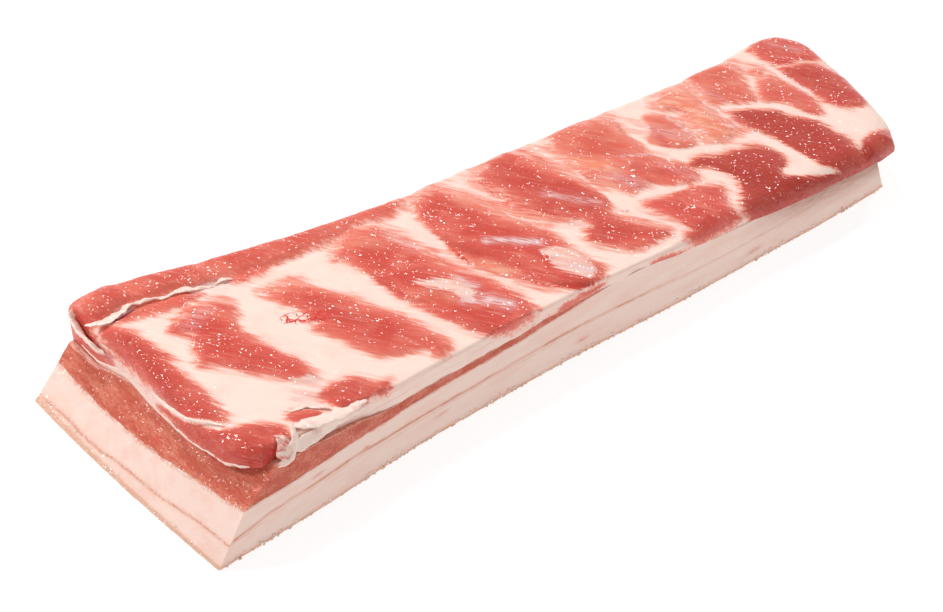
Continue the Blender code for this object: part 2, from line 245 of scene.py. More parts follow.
# Outlines of cream patches that lie on the lean, ragged along the fibres.
CREAM_PATCHES = (
    ((165, 60), (172, 56), (178, 53), (184, 48), (185, 42), (184, 36), (178, 31), (176, 36), (175, 42),
     (171, 48), (166, 54)),
    ((231, 40), (236, 39), (241, 36), (245, 30), (245, 24), (245, 17), (243, 11), (238, 8), (234, 14),
     (230, 21), (229, 27), (231, 34)),
    ((253, 50), (262, 47), (266, 39), (258, 43)),
    ((343, 101), (351, 96), (348, 86), (340, 78), (337, 84), (339, 92)),
    ((68, 36), (80, 35), (84, 27), (76, 22), (66, 24)),
)
# Pale, bluish membrane over lean: the same as strokes, with its strength last.
VEIL_STROKES = (
    (184, 46, 187, 38, 2.5, 0.9), (176, 33, 184, 26, 3.6, 1.0), (184, 30, 191, 17, 3.6, 1.0),
    (214, 63, 226, 55, 2.4, 1.1), (226, 54, 235, 46, 2.8, 1.2), (237, 22, 241, 12, 2.6, 0.9),
    (264, 75, 281, 52, 3.0, 0.6), (304, 64, 310, 48, 5.0, 0.45), (319, 75, 333, 67, 1.0, 0.8),
    (348, 85, 360, 68, 5.0, 0.4), (364, 70, 364, 88, 1.3, 0.8), (68, 24, 82, 32, 4.5, 0.4),
    (390, 58, 390, 85, 1.6, 0.5), (332, 58, 338, 38, 3.0, 0.25), (73, 120, 88, 117, 4.0, 0.6),
    (462, 104, 472, 92, 4.0, 0.35), (445, 55, 445, 90, 1.8, 0.6), (16, 60, 13, 118, 2.0, 0.5),
    (176, 98, 182, 80, 3.5, 0.4), (396, 100, 400, 84, 3.0, 0.35), (55, 100, 68, 104, 5.0, 0.35),
)
# Lean that shows orange through a thin cover, and lean that is redder than its muscle or painted darker
# as shade in a crease: the same, with the change of tone last.
TONE_STROKES = (
    (158, 52, 170, 40, 5, 0.3), (248, 60, 263, 44, 5, 0.5), (262, 20, 280, 14, 4, 0.4),
    (100, 100, 118, 96, 5, 0.3), (291, 90, 306, 74, 5, 0.8), (294, 66, 297, 58, 3, 0.5),
    (448, 29, 455, 26, 3, 1.2), (194, 64, 207, 35, 4, 0.7), (226, 100, 240, 66, 5, 0.5),
    (160, 104, 170, 96, 6, 0.3), (272, 105, 284, 80, 5, 0.4), (70, 100, 76, 90, 4, 0.4),
)
DEEP_STROKES = (
    (150, 74, 152, 58, 4, 0.3), (160, 20, 172, 8, 5, 0.3), (196, 78, 202, 58, 4, 0.5),
    # The last stroke on the next line paints shade into the crease beside the far lobe.
    (218, 12, 234, 4, 5, 0.9), (115, 75, 130, 40, 7, 0.25), (427, -14, 433, 4, 3, 0.9),
    (22, 60, 27, 110, 4, 0.3), (345, 60, 350, 85, 3, 0.3), (345, 30, 400, -10, 9, 0.4),
    (456, 75, 466, 40, 9, 0.1), (319, 63, 326, 52, 4, 0.45), (331, 48, 342, 48, 5, 0.3),
    (300, 66, 312, 48, 4, 0.45),
)
# Folds and knobs of the surface: the same, with their height last.
RELIEF_STROKES = (
    (424, -12, 434, 3, 2.0, -2.8), (162, 50, 176, 39, 5, 0.9), (178, 46, 188, 38, 2.5, 0.6),
    (186, 33, 192, 16, 3, 0.8), (212, 66, 235, 48, 2.5, 0.7), (230, 38, 242, 16, 4, 0.9),
    (296, 75, 320, 68, 4, 0.5), (363, 70, 364, 90, 1.2, 0.6), (76, 12, 92, 4, 3, 0.5),
    (288, 92, 296, 60, 2, 0.5), (300, 46, 328, 36, 2, 0.4), (20, 32, 45, 26, 2, 0.5),
    (44, 150, 48, 138, 5, -1.3), (20, 144, 26, 145, 7, 0.6), (84, 136, 88, 128, 4, -0.6),
    (60, 140, 66, 136, 5, 0.5), (10, 128, 16, 118, 4, 1.0), (12, 146, 20, 150, 6, -0.8),
    (24, 125, 62, 120, 2.5, -0.7), (17, 60, 15, 110, 2, 0.4),
)
# Bright blood that has soaked the surface.
BLOOD_STROKES = (
    (97, 74, 113, 66, 5.0, 0.9), (101, 70, 108, 69, 1.5, 1.0), (196, 85, 196, 70, 0.8, 0.8),
    (196, 70, 195, 54, 1.4, 1.0), (211, 24, 222, 10, 1.2, 0.9), (222, 10, 230, 5, 1.5, 0.9),
    (70, 3, 85, 1, 2.0, 0.9), (36, 5, 42, 2, 3.0, 0.7), (284, 40, 290, 37, 2.0, 0.5),
    (34, 126, 38, 125, 2.2, 0.7), (90, 113, 97, 112, 2.2, 0.5), (299, -4, 318, -6, 1.2, 0.5),
)

# Lines in the cut faces: heights of the tan lines of connective tissue along x.
TAN_LINE = ((0, 13.5), (10, 15), (25, 17.6), (45, 19.7), (100, 20), (150, 18.8), (200, 20.2), (245, 20.3),
            (280, 19), (335, 16.8), (400, 19), (476, 18))
FAINT_LINE = ((0, 11.5), (25, 15), (60, 17.5), (120, 16.8), (200, 17.8), (270, 24), (340, 12), (476, 13))
# The tan line in the thick end: height along y.
END_LINE = ((-5, 13), (15, 11.5), (40, 9), (115, 4), (155, 3))
# Brownish red spots in the cut side: (x, height, half-length, half-height).
SPOTS = ((350, 8.5, 5.0, 1.6), (90, 21.5, 2.0, 0.9), (60, 24, 4.0, 0.9), (138, 13, 4.0, 0.8),
         (230, 10, 3.5, 1.2))
# Where the wet film stands thick: the same as strokes, with its thickness last.
WET_STROKES = (
    (24, 56, 26, 98, 6, 1.0), (23, 42, 26, 57, 4, 1.0), (28, 12, 36, 30, 6, 0.8),
    (58, 92, 76, 108, 8, 0.8), (298, -5, 335, 14, 8, 1.0), (432, 5, 468, 38, 12, 1.0),
    (15, 135, 60, 150, 8, 0.8), (60, 140, 130, 126, 7, 0.5), (180, 24, 196, 14, 6, 0.4),
    (215, 8, 240, 8, 8, 1.0), (262, 30, 285, 12, 8, 0.8), (280, 80, 320, 70, 10, 0.7),
    (345, 66, 372, 60, 8, 0.9), (372, 40, 424, 20, 9, 0.9), (420, 70, 475, 98, 12, 1.0),
    (384, 100, 424, 96, 9, 0.8), (232, 70, 240, 40, 6, 0.6), (140, 60, 148, 20, 6, 0.5),
    (425, -12, 455, -5, 7, 1.0), (338, 50, 350, 20, 6, 0.6),
)

# Strips of torn membrane: the strip's own half-width, half-thickness, tilt of its width over the
# level in degrees, how crumpled it is, meat and bruise on it, and its points. A point has x, y, z
# and its share of the width. On the top, z is the lift over the surface.
TOP_STRIPS = (
    (1.8, 0.7, 10, 1.8, 0.0, 0.0, ((16, 132, 0.3, 0.5), (24, 129, 0.8, 1.3), (33, 130, 1.2, 1.9),
                                   (42, 131, 0.8, 0.9), (54, 127.5, 0.5, 0.6), (68, 124, 0.4, 1.1),
                                   (80, 119, 0.3, 0.6), (90, 113.5, 0.1, 0.3))),
    (1.0, 0.6, 0, 0.7, 0.3, 1.0, ((31, 127, 0.5, 0.5), (36, 127, 0.9, 1.4), (41, 127, 0.5, 0.5))),
    (1.2, 0.5, 15, 0.8, 0.0, 0.0, ((83, 119, 0.4, 0.5), (88, 118, 1.0, 1.2), (92, 115, 0.3, 0.4))),
    (0.6, 0.35, 0, 0.5, 0.0, 0.0, ((16, 72, 0.3, 0.5), (17, 58, 0.5, 1.2), (20, 46, 0.5, 1.2),
                                   (26, 38, 0.5, 1.2), (30, 31, 0.5, 0.6))),
    (1.1, 0.5, 10, 0.8, 0.0, 0.0, ((58, 20, 0.3, 0.5), (66, 18, 0.8, 1.2), (73, 12, 0.8, 1.2),
                                   (76, 7, 0.3, 0.5))),
)
LOOSE_STRIPS = (
    (2.3, 0.9, 50, 1.1, 0.0, 0.0, ((55, 12, 53.6, 0.5), (52, 7, 54.0, 1.0), (49.5, 2.5, 52.3, 1.2),
                                   (46, 0.2, 49.0, 1.1), (42, -0.4, 45.8, 0.9), (37, 0.2, 44.4, 0.4))),
    (3.2, 0.9, 25, 2.0, 0.5, 0.3, ((45, 11, 53.4, 0.5), (44.5, 5, 53.2, 1.0), (42.5, 1.4, 50.6, 1.0),
                                   (40, 0, 47, 0.7))),
    (3.8, 0.9, 0, 1.4, 0.0, 0.0, ((54, 10, 53.4, 0.5), (62, 6, 53.2, 1.0), (72, 4, 52.8, 1.0),
                                  (82, 4, 52.0, 0.9), (93, 5, 50.8, 0.4))),
    (3.2, 0.8, -62, 1.4, 0.0, 0.0, ((45, 1.2, 48.5, 0.6), (57, 1.6, 49.4, 1.0), (68, 2.2, 49.8, 0.9),
                                    (80, 3.6, 49.0, 0.7), (96, 4.8, 47, 0.3))),
    (3.4, 1.2, 60, 1.4, 0.1, 0.0, ((21, 151, 47, 0.6), (17, 147, 44.5, 1.1), (16.5, 138, 41.5, 1.2),
                                   (17, 130, 40, 1.1), (19, 121, 38.5, 0.6))),
)
RIM_SHARES = (0.97, 0.02)       # shares of the width between which the flap has a pale rim
CRUMBS = (340, 60)              # along the cut side and along the thick end
CRUMB_RADIUS = (0.3, 0.7)

# Lattice of each skin: cells along x, across y and up the wall. The hidden faces have wide cells.
RIB_CELLS = (456, 140, 20)
RIB_WALL_SHARE = 0.42
LEAN_CELLS = (384, 128, 14)
FAT_CELLS = (420, 132, 30)
HIDDEN_STEP = 12
SHARP_FROM = 50                 # degrees between faces from which a knife's edge shows

# Relief of the surfaces.
FIBRE_ANGLE = -55.0             # degrees from +X of the meat's fibres, seen from above
FIBRE_STRETCH = 7.0             # how much longer than wide a bundle of fibres is


def curve(points, at):
    """Smooth curve through (position, value) points that never swings past them.

    Its pieces are cubic, and the slope at a point is the harmonic mean of those on both sides, or
    level where they differ in sign.
    """
    knots, values = np.array(points, dtype=float).T
    sides = np.diff(values) / np.diff(knots)
    agree = sides[:-1] * sides[1:] > 0
    both = np.where(agree, sides[:-1] + sides[1:], 1)
    inner = np.where(agree, 2 * sides[:-1] * sides[1:] / both, 0)
    slopes = np.concatenate((sides[:1], inner, sides[-1:]))
    at = np.clip(at, knots[0], knots[-1])
    piece = np.clip(np.searchsorted(knots, at, side="right") - 1, 0, len(knots) - 2)
    width = knots[piece + 1] - knots[piece]
    t = (at - knots[piece]) / width
    rise = values[piece + 1] - values[piece]
    start_bend = slopes[piece] * width - rise
    end_bend = rise - slopes[piece + 1] * width
    return values[piece] + rise * t + t * (1 - t) * ((1 - t) * start_bend + t * end_bend)


def between(pair, share):
    """Straight blend from the first value of a pair to the second."""
    return pair[0] + (pair[1] - pair[0]) * share


def bump(distance, half_width):
    """Bell of height 1 that fades out over its half-width."""
    return np.exp(-(distance / half_width) ** 2)


def smooth_step(low, high, value):
    """0 below low, 1 above high, and an S between them."""
    t = np.clip((value - low) / (high - low), 0, 1)
    return t * t * (3 - 2 * t)


# The measured numbers start at the near corner of the rind. The frame starts under the middle of
# the slab's box, whose low x and high y are those of the thick end and of the back side.
OUTLINE_X = np.linspace(-9, 482, 2000)
CENTRE = np.array((-BUTT_SWEEP - CAD_BOX[0][0] / METRES_PER_MM,
                   curve(BACK_SIDE, OUTLINE_X).max() - CAD_BOX[1][1] / METRES_PER_MM,
                   0.0))


def lattice_value(ix, iy, iz, seed):
    """Repeatable value from -1 to 1 at whole-number lattice points, by mixing their bits."""
    mixed = (ix * 374761393 + iy * 668265263 + iz * 974634757 + seed * 1274126177) & 0xFFFFFFFF
    mixed = ((mixed ^ (mixed >> 13)) * 1274126177) & 0xFFFFFFFF
    return ((mixed ^ (mixed >> 16)) & 0xFFFF) / 32767.5 - 1


def noise(points, size, seed):
    """Smooth noise: values on a lattice of the given size, blended by an S along x, y and z."""
    scaled = np.asarray(points, dtype=float) / size + 1000
    cell = np.floor(scaled).astype(np.int64)
    t = scaled - cell
    t = t * t * (3 - 2 * t)
    total = 0
    for dx in (0, 1):
        for dy in (0, 1):
            for dz in (0, 1):
                corner = cell + (dx, dy, dz)
                weight = abs(1 - dx - t[:, 0]) * abs(1 - dy - t[:, 1]) * abs(1 - dz - t[:, 2])
                total = total + weight * lattice_value(*corner.T, seed)
    return total


def rough(points, size, seed, octaves=3):
    """Sum of noises, each half as wide and half as strong as the one before."""
    return sum(noise(points, size / 2 ** n, seed + n) / 2 ** n for n in range(octaves))


def along_fibres(points):
    """Points turned so that the first axis runs along the fibres, and squeezed along it."""
    angle = math.radians(FIBRE_ANGLE)
    along = points[:, 0] * math.cos(angle) + points[:, 1] * math.sin(angle)
    across = points[:, 1] * math.cos(angle) - points[:, 0] * math.sin(angle)
    return np.stack((along / FIBRE_STRETCH, across, points[:, 2]), axis=1)


def flat(x, y):
    """Points of the plane as points in space, for noise that doesn't change with height."""
    return np.stack((x, y, np.zeros_like(x)), axis=1)


def share_across(x, y):
    """Share of the width at a point: 0 on the cut side, 1 on the back side."""
    front = curve(CUT_SIDE, x)
    return np.clip((y - front) / (curve(BACK_SIDE, x) - front), 0, 1)


def lean_thickness(x, share):
    """Thickness of the lower lean before it is kept above zero."""
    at_back = curve(LEAN_AT_BACK, x)
    belly = 4.0 * bump(share - 0.62, 0.2) * np.exp(-np.clip(x - 20, 0, None) / 60)
    return at_back + (curve(LEAN_AT_CUT, x) - at_back) * (1 - share) ** 2 + belly


def fat_top(x, y):
    """Height of the seam on the back fat: high at the cut side, flattening to the back, and wavy."""
    at_back = curve(FAT_AT_BACK, x)
    wave = SEAM_WAVE * rough(flat(x, y), 17.0, 11)
    return at_back + (curve(FAT_AT_CUT, x) - at_back) * (1 - share_across(x, y)) ** 2 + wave


def meat_bottom(x, y):
    """Height of the seam under the rib layer: the fat plus a lean that never goes below zero."""
    thickness = lean_thickness(x, share_across(x, y)) + SEAM_WAVE * rough(flat(x, y), 12.0, 21)
    return fat_top(x, y) + 0.5 * (thickness + np.sqrt(thickness ** 2 + 0.8))


def closed_outline(outline, steps=5):
    """Smooth closed line through the points: cubic pieces whose slopes come from the neighbours."""
    corner = np.array(outline, dtype=float)
    before, after, beyond = (np.roll(corner, shift, axis=0) for shift in (1, -1, -2))
    t = (np.arange(steps) / steps)[None, :, None]
    start, end = corner[:, None], after[:, None]
    leave, arrive = (after - before)[:, None] / 2, (beyond - corner)[:, None] / 2
    line = (start + leave * t + (3 * (end - start) - 2 * leave - arrive) * t ** 2
            + (2 * (start - end) + leave + arrive) * t ** 3)
    return line.reshape(-1, 2)


def depth_inside(outline, x, y, reach):
    """Distance to a closed outline, above zero inside it, and minus the reach where it is further."""
    line = closed_outline(outline)
    depth = np.full(x.shape, -reach)
    near = np.flatnonzero((x > line[:, 0].min() - reach) & (x < line[:, 0].max() + reach)
                          & (y > line[:, 1].min() - reach) & (y < line[:, 1].max() + reach))
    px, py = x[near], y[near]
    closest = np.full(px.shape, reach ** 2)
    inside = np.zeros(px.shape, dtype=bool)
    for (ax, ay), (bx, by) in zip(line, np.roll(line, -1, axis=0)):
        run, rise = bx - ax, by - ay
        t = np.clip(((px - ax) * run + (py - ay) * rise) / max(run * run + rise * rise, 1e-9), 0, 1)
        closest = np.minimum(closest, (px - ax - t * run) ** 2 + (py - ay - t * rise) ** 2)
        if ay != by:
            inside ^= ((ay > py) != (by > py)) & (px < ax + (py - ay) * run / rise)
    depth[near] = np.where(inside, 1, -1) * np.sqrt(closest)
    return depth


def stroke_cover(strokes, x, y, join=np.maximum):
    """Strokes at each point: a bell across each line, as strong as its last number, joined to one."""
    cover = np.zeros_like(x)
    for ax, ay, bx, by, half_width, strength in strokes:
        run, rise = bx - ax, by - ay
        t = np.clip(((x - ax) * run + (y - ay) * rise) / (run * run + rise * rise), 0, 1)
        gap = np.hypot(x - ax - t * run, y - ay - t * rise)
        cover = join(cover, strength * bump(gap, half_width))
    return cover


def seen_on_top(points):
    """Where the eye sees each point on the plane of the top: the line to the eye is followed up to it."""
    x, y, z = points.T
    seen_x, seen_y = x, y
    for _ in range(2):
        share = (curve(TOP_OF_SLAB, seen_x) - z) / (EYE[2] - z)
        seen_x = x + share * (EYE[0] - x)
        seen_y = y + share * (EYE[1] - y)
    return seen_x, seen_y


def lean_fields(x, y):
    """Depth in the lean in mm less the strokes of fat, the muscle's tone, and its edge's softness."""
    drift = 0.7 * rough(along_fibres(flat(x, y)), 4.0, 31)
    angle = math.radians(FIBRE_ANGLE)
    x = x + drift * math.cos(angle)
    y = y + drift * math.sin(angle)
    reach = 14.0
    depth = np.full(x.shape, -reach)
    tone = np.zeros_like(x)
    soft = np.zeros_like(x)
    total = np.full(x.shape, 1e-6)
    for feather, muscle_tone, outline in MUSCLES:
        inside = depth_inside(outline, x, y, reach)
        depth = np.maximum(depth, inside)
        weight = smooth_step(-9, 1, inside) + 1e-4
        tone += weight * muscle_tone
        soft += weight * feather
        total += weight
    soft = np.maximum(soft / total + stroke_cover(SOFT_STROKES, x, y, np.add), 0.6)
    tone = tone / total + stroke_cover(TONE_STROKES, x, y) - stroke_cover(DEEP_STROKES, x, y)
    return depth - stroke_cover(FAT_STROKES, x, y), np.clip(tone, -1, 1), soft


def slab_top(x, y):
    """Height of the upper surface with the rib muscles, the rolled strip, its crease and scraps."""
    sizes = bpy.context.scene.pork_slab_sizes
    cover = smooth_step(-3, 5, lean_fields(x, y)[0])
    height = curve(TOP_OF_SLAB, x) + (sizes.rib_swell + sizes.groove_depth) * cover - sizes.groove_depth
    across = y - curve(ROLL_RIDGE, x)
    fade = np.clip(1 - np.clip(x - 20, 0, None) / ROLL_LENGTH, 0, 1)
    height = height + ROLL_HEIGHT * fade * bump(across, ROLL_HALF_WIDTH)
    height = height - CREASE_DEPTH * fade * bump(across - CREASE_OFFSET, CREASE_HALF_WIDTH)
    for scrap_x, scrap_y, half_width, scrap_height in CORNER_SCRAPS:
        height = height + scrap_height * bump(np.hypot(x - scrap_x, y - scrap_y), half_width)
    return height + stroke_cover(RELIEF_STROKES, x, y, np.add)


def butt_face(share, height):
    """x of the sloping cut through back fat and lower lean at the thick end."""
    x = -BUTT_SWEEP * (1 - (1 - share) ** 2)
    seam = fat_top(np.full_like(share, 12.0), share * BUTT_WIDTH)
    in_fat = np.minimum(height, seam)
    in_meat = np.maximum(height - seam, 0)
    return x + between(FAT_LEAN, share) * in_fat + between(MEAT_LEAN, share) * in_meat


def place_cut_layer(u, v, w, bottom, top, first_share):
    """Points of a layer under the flap.

    The cut face leans, so its x depends on the height while the seam's height depends on x. The
    two are settled by going round a few times from a first guess.
    """
    x = 15 + u * 445
    share = v
    for _ in range(8):
        start = first_share(x)
        share = start + (1 - start) * v
        front = curve(CUT_SIDE, x)
        y = front + share * (curve(BACK_SIDE, x) - front)
        z = between((bottom(x, y), top(x, y)), w)
        near = butt_face(share, z)
        far = curve(FAR_FAT, share) + FAR_SLANT * (FAR_SLANT_FROM - z)
        x = near + u * (far - near)
    return np.stack((x, y, z), axis=1)


def place_back_fat(u, v, w):
    """Points of the fat that lies on the rind."""
    return place_cut_layer(u, v, w, lambda x, y: 0 * x, lambda x, y: fat_top(x, y) + SEAM_OVERLAP / 2,
                           lambda x: 0 * x)


def lean_front_share(x):
    """Share of the width at which the lower lean runs out: 0 where it reaches the cut side."""
    to_lose = curve(LEAN_AT_BACK, x) - THINNEST_LEAN
    lost_at_cut = curve(LEAN_AT_BACK, x) - curve(LEAN_AT_CUT, x)
    return 1 - np.sqrt(to_lose / np.maximum(lost_at_cut, to_lose))


def place_lower_lean(u, v, w):
    """Points of the lean between the back fat and the rib layer."""
    return place_cut_layer(u, v, w, lambda x, y: fat_top(x, y) - SEAM_OVERLAP / 2,
                           lambda x, y: meat_bottom(x, y) + SEAM_OVERLAP / 2, lean_front_share)


def place_rib_layer(u, v, w):
    """Points of the rib layer: an upright wall, then a quarter round over to the top."""
    turn = np.clip((w - RIB_WALL_SHARE) / (1 - RIB_WALL_SHARE), 0, 1) * np.pi / 2
    x = 20 + u * 450
    near_edge = curve(FLAP_EDGE, v)
    far_edge = curve(FAR_MEAT, v)
    for _ in range(3):
        radius = between((curve(EDGE_AT_CUT, x), curve(EDGE_AT_BACK, x)), v)
        inset = radius * (1 - np.cos(turn))
        x = near_edge + inset + u * (far_edge - near_edge - 2 * inset)
    front = curve(CUT_SIDE, x) + curve(FLAP_SET_BACK, x) + inset
    y = front + v * (curve(BACK_SIDE, x) - inset - front)
    low = meat_bottom(x, y) - SEAM_OVERLAP / 2
    high = slab_top(x, y)
    round_height = np.minimum(radius, 0.8 * (high - low))
    shoulder = high - round_height
    on_wall = low + (shoulder - low) * np.clip(w / RIB_WALL_SHARE, 0, 1)
    z = np.where(w <= RIB_WALL_SHARE, on_wall, shoulder + round_height * np.sin(turn))
    return np.stack((x, y, z), axis=1)


def box_skin(cells, fine_top):
    """Lattice on the skin of a box, its quads, and the wide polygons of the faces that stay hidden.

    The walls are a ring of points carried up. A fine top is filled with quads, and a wide face has a
    point every few cells, with polygons that take in all the ring's points along the border.
    """
    cells_u, cells_v, cells_w = cells
    along, across = np.arange(cells_u), np.arange(cells_v)
    ring_i = np.concatenate((along, across * 0 + cells_u, cells_u - along, across * 0))
    ring_j = np.concatenate((along * 0, across, along * 0 + cells_v, cells_v - across))
    ring = len(ring_i)
    wall = np.arange(ring * (cells_w + 1)).reshape(cells_w + 1, ring)
    ahead = np.roll(wall, -1, axis=1)
    quads = [np.stack((wall[:-1], ahead[:-1], ahead[1:], wall[1:]), axis=-1).reshape(-1, 4)]
    lattice = [np.stack((np.tile(ring_i, cells_w + 1), np.tile(ring_j, cells_w + 1),
                         np.repeat(np.arange(cells_w + 1), ring)), axis=1)]
    polygons = []
    used = wall.size
    for level in (0, cells_w):
        number = np.full((cells_u + 1, cells_v + 1), -1)
        number[ring_i, ring_j] = wall[level]
        step = 1 if fine_top and level else HIDDEN_STEP
        wanted = np.zeros(number.shape, dtype=bool)
        wanted[::step, ::step] = True
        i, j = np.nonzero(wanted & (number < 0))
        number[i, j] = used + np.arange(len(i))
        used += len(i)
        lattice.append(np.stack((i, j, np.full(len(i), level)), axis=1))
        if step == 1:
            quads.append(np.stack((number[:-1, :-1], number[1:, :-1], number[1:, 1:], number[:-1, 1:]),
                                  axis=-1).reshape(-1, 4))
            continue
        for i in range(0, cells_u, step):
            for j in range(0, cells_v, step):
                block = number[i:i + step + 1, j:j + step + 1]
                border = np.concatenate((block[:-1, 0], block[-1, :-1],
                                         block[:0:-1, -1], block[0, :0:-1]))
                border = border[border >= 0].tolist()
                polygons.append(border if level else border[::-1])
    return np.concatenate(lattice) / np.array(cells, dtype=float), np.concatenate(quads), polygons


def outward(points, quads):
    """Unit normal at each point: the mean of its quads' normals, and nothing where it has no quad."""
    normals = np.zeros_like(points)
    across_one = points[quads[:, 2]] - points[quads[:, 0]]
    across_two = points[quads[:, 3]] - points[quads[:, 1]]
    face = np.cross(across_one, across_two)
    for corner in range(4):
        np.add.at(normals, quads[:, corner], face)
    length = np.linalg.norm(normals, axis=1, keepdims=True)
    return normals / np.maximum(length, 1e-9)


def ribbon(path, half_width, half_thickness, tilt, crumple, seed, steps=70, around=12):
    """Closed strip with an oval section along a smooth path, crumpled by noise: its points and faces."""
    number = np.arange(len(path))
    at = np.linspace(0, len(path) - 1, steps)
    line = np.stack([curve(np.column_stack((number, path[:, axis])), at) for axis in range(4)], axis=1)
    ahead = np.gradient(line[:, :3], axis=0)
    ahead /= np.linalg.norm(ahead, axis=1, keepdims=True)
    level = np.cross(ahead, (0, 0, 1))
    level /= np.linalg.norm(level, axis=1, keepdims=True)
    turn = math.radians(tilt)
    wide = math.cos(turn) * level + math.sin(turn) * np.cross(level, ahead)
    thick = np.cross(wide, ahead)
    end = np.sqrt(np.clip(1 - np.linspace(-1, 1, steps) ** 8, 0.02, 1))
    angle = np.linspace(0, 2 * np.pi, around, endpoint=False)[None, :, None]
    width = (half_width * line[:, 3] * end)[:, None, None]
    depth = half_thickness * end[:, None, None]
    oval = width * np.cos(angle) * wide[:, None] + depth * np.sin(angle) * thick[:, None]
    points = (line[:, None, :3] + oval).reshape(-1, 3)
    shift = [rough(points, 3.5, seed + axis, 2) for axis in range(3)]
    points = points + crumple * 0.5 * np.stack(shift, axis=1)
    ring = np.arange(steps * around).reshape(steps, around)
    ahead_of = np.roll(ring, -1, axis=1)
    quads = np.stack((ring[:-1], ring[1:], ahead_of[1:], ahead_of[:-1]), axis=-1).reshape(-1, 4)
    return points, quads.tolist() + [ring[0].tolist(), ring[-1, ::-1].tolist()]


def rough_ball():
    """Points and triangles of a ball of radius 1 with 80 faces."""
    shape = bmesh.new()
    bmesh.ops.create_icosphere(shape, subdivisions=2, radius=1.0)
    points = np.array([corner.co for corner in shape.verts])
    faces = np.array([[corner.index for corner in face.verts] for face in shape.faces])
    shape.free()
    return points, faces


def in_row_frame(points):
    """Measured millimetres to metres about the middle of the slab."""
    return (points - CENTRE) * METRES_PER_MM


def add_piece(name, points, faces, fields, finish, flat_faces=(), sharp=False):
    """Object with its place in its mesh, smooth but for the flat faces, its fields as attributes."""
    mesh = bpy.data.meshes.new(name)
    mesh.from_pydata(in_row_frame(points).tolist(), [], faces)
    mesh.shade_smooth()
    if sharp:
        mesh.set_sharp_from_angle(angle=math.radians(SHARP_FROM))
    if len(flat_faces):
        smooth = np.ones(len(faces), dtype=bool)
        smooth[flat_faces] = False
        mesh.polygons.foreach_set("use_smooth", smooth)
    for field, values in fields.items():
        attribute = mesh.attributes.new(field, "FLOAT", "POINT")
        attribute.data.foreach_set("value", np.ascontiguousarray(values, dtype=np.float32))
    mesh.materials.append(finish)
    mesh.update()
    piece = bpy.data.objects.new(name, mesh)
    bpy.context.scene.collection.objects.link(piece)
    return piece


def linear(colour):
    """sRGB hex value to the linear colour, with its alpha, that a shader takes."""
    channels = [int(colour[i:i + 2], 16) / 255 for i in (0, 2, 4)]
    return (*(c / 12.92 if c <= 0.04045 else ((c + 0.055) / 1.055) ** 2.4 for c in channels), 1.0)


class Finish:
    """A material under construction, with its shader and the place on the piece ready."""

    def __init__(self, name):
        self.material = bpy.data.materials.new(name)
        self.material.use_nodes = True
        self.tree = self.material.node_tree
        self.shader = self.tree.nodes["Principled BSDF"]
        self.place = self.node("ShaderNodeTexCoord", output="Object")

    def node(self, kind, *sources, output=None, **settings):
        """Adds a node with its settings, and returns one of its outputs.

        The sources go to its inputs in order. Each is a value or another node's output.
        """
        made = self.tree.nodes.new(kind)
        for setting, value in settings.items():
            setattr(made, setting, value)
        inputs, outputs = ([socket for socket in sockets if socket.enabled]
                           for sockets in (made.inputs, made.outputs))
        for socket, source in zip(inputs, sources):
            if isinstance(source, bpy.types.NodeSocket):
                self.tree.links.new(source, socket)
            else:
                socket.default_value = source
        return made.outputs[output] if output else outputs[0]

    def fields(self, *names):
        """The numbers that each point of the piece carries under these names."""
        return [self.node("ShaderNodeAttribute", attribute_name=name, output="Fac") for name in names]

    def cells(self, lengths, shift=0.0, angle=FIBRE_ANGLE):
        """Place on the piece, counted in cells with these lengths in mm and turned by the angle."""
        scale = [length * METRES_PER_MM for length in lengths]
        return self.node("ShaderNodeMapping", self.place, (shift, shift, shift),
                         (0, 0, math.radians(angle)), scale, vector_type="TEXTURE")

    def lumps(self, size, stretch=1.0, detail=3.0, shift=0.0, flat=1.0, angle=FIBRE_ANGLE):
        """Noise from 0 to 1 whose lumps have a real size in mm, drawn out along the angle."""
        spot = self.cells((size * stretch, size, size * flat), shift, angle)
        return self.node(NOISE, spot, 1.0, detail, 0.55)

    def flecks(self, size, stretch=1.4):
        """Relief in mm of facets of a real size in mm, each flat and tilted its own way."""
        spot = self.cells((size * stretch, size, size))
        colour = self.node(VORONOI, spot, 1.0, feature="F1", output="Color")
        middle = colour.node.outputs["Position"]
        tilt = self.node(VECTOR_MATHS, colour, (0.5, 0.5, 0.5), operation="SUBTRACT")
        away = self.node(VECTOR_MATHS, spot, middle, operation="SUBTRACT")
        height = self.node(VECTOR_MATHS, away, tilt, operation="DOT_PRODUCT", output="Value")
        return self.node(MATHS, height, size, operation="MULTIPLY")

    def painted(self, colour, layers):
        """Colour with layers painted over it: each is its factors, to be multiplied, and a colour."""
        for factors, paint in layers:
            share = factors[0]
            for factor in factors[1:]:
                share = self.node(MATHS, share, factor, operation="MULTIPLY")
            colour = self.node(MIX, share, colour, paint, data_type="RGBA")
        return colour

    def finish(self, colour, relief, wet_relief, **values):
        """Connects colour and both reliefs, in mm: that of the meat and that of the wet film over it."""
        self.tree.links.new(colour, self.shader.inputs["Base Color"])
        for height, socket in ((relief, "Normal"), (wet_relief, "Coat Normal")):
            normal = self.node("ShaderNodeBump", 1.0, METRES_PER_MM, 0.1, height)
            self.tree.links.new(normal, self.shader.inputs[socket])
        for name, value in values.items():
            self.shader.inputs[name.replace("_", " ")].default_value = value
        self.shader.inputs["IOR"].default_value = 1.4
        self.shader.inputs["Specular IOR Level"].default_value = 0.1
        self.shader.inputs["Coat Roughness"].default_value = 0.07
        self.shader.inputs["Coat IOR"].default_value = 1.6
        self.shader.inputs["Subsurface Radius"].default_value = (1.0, 0.45, 0.3)
        return self.material


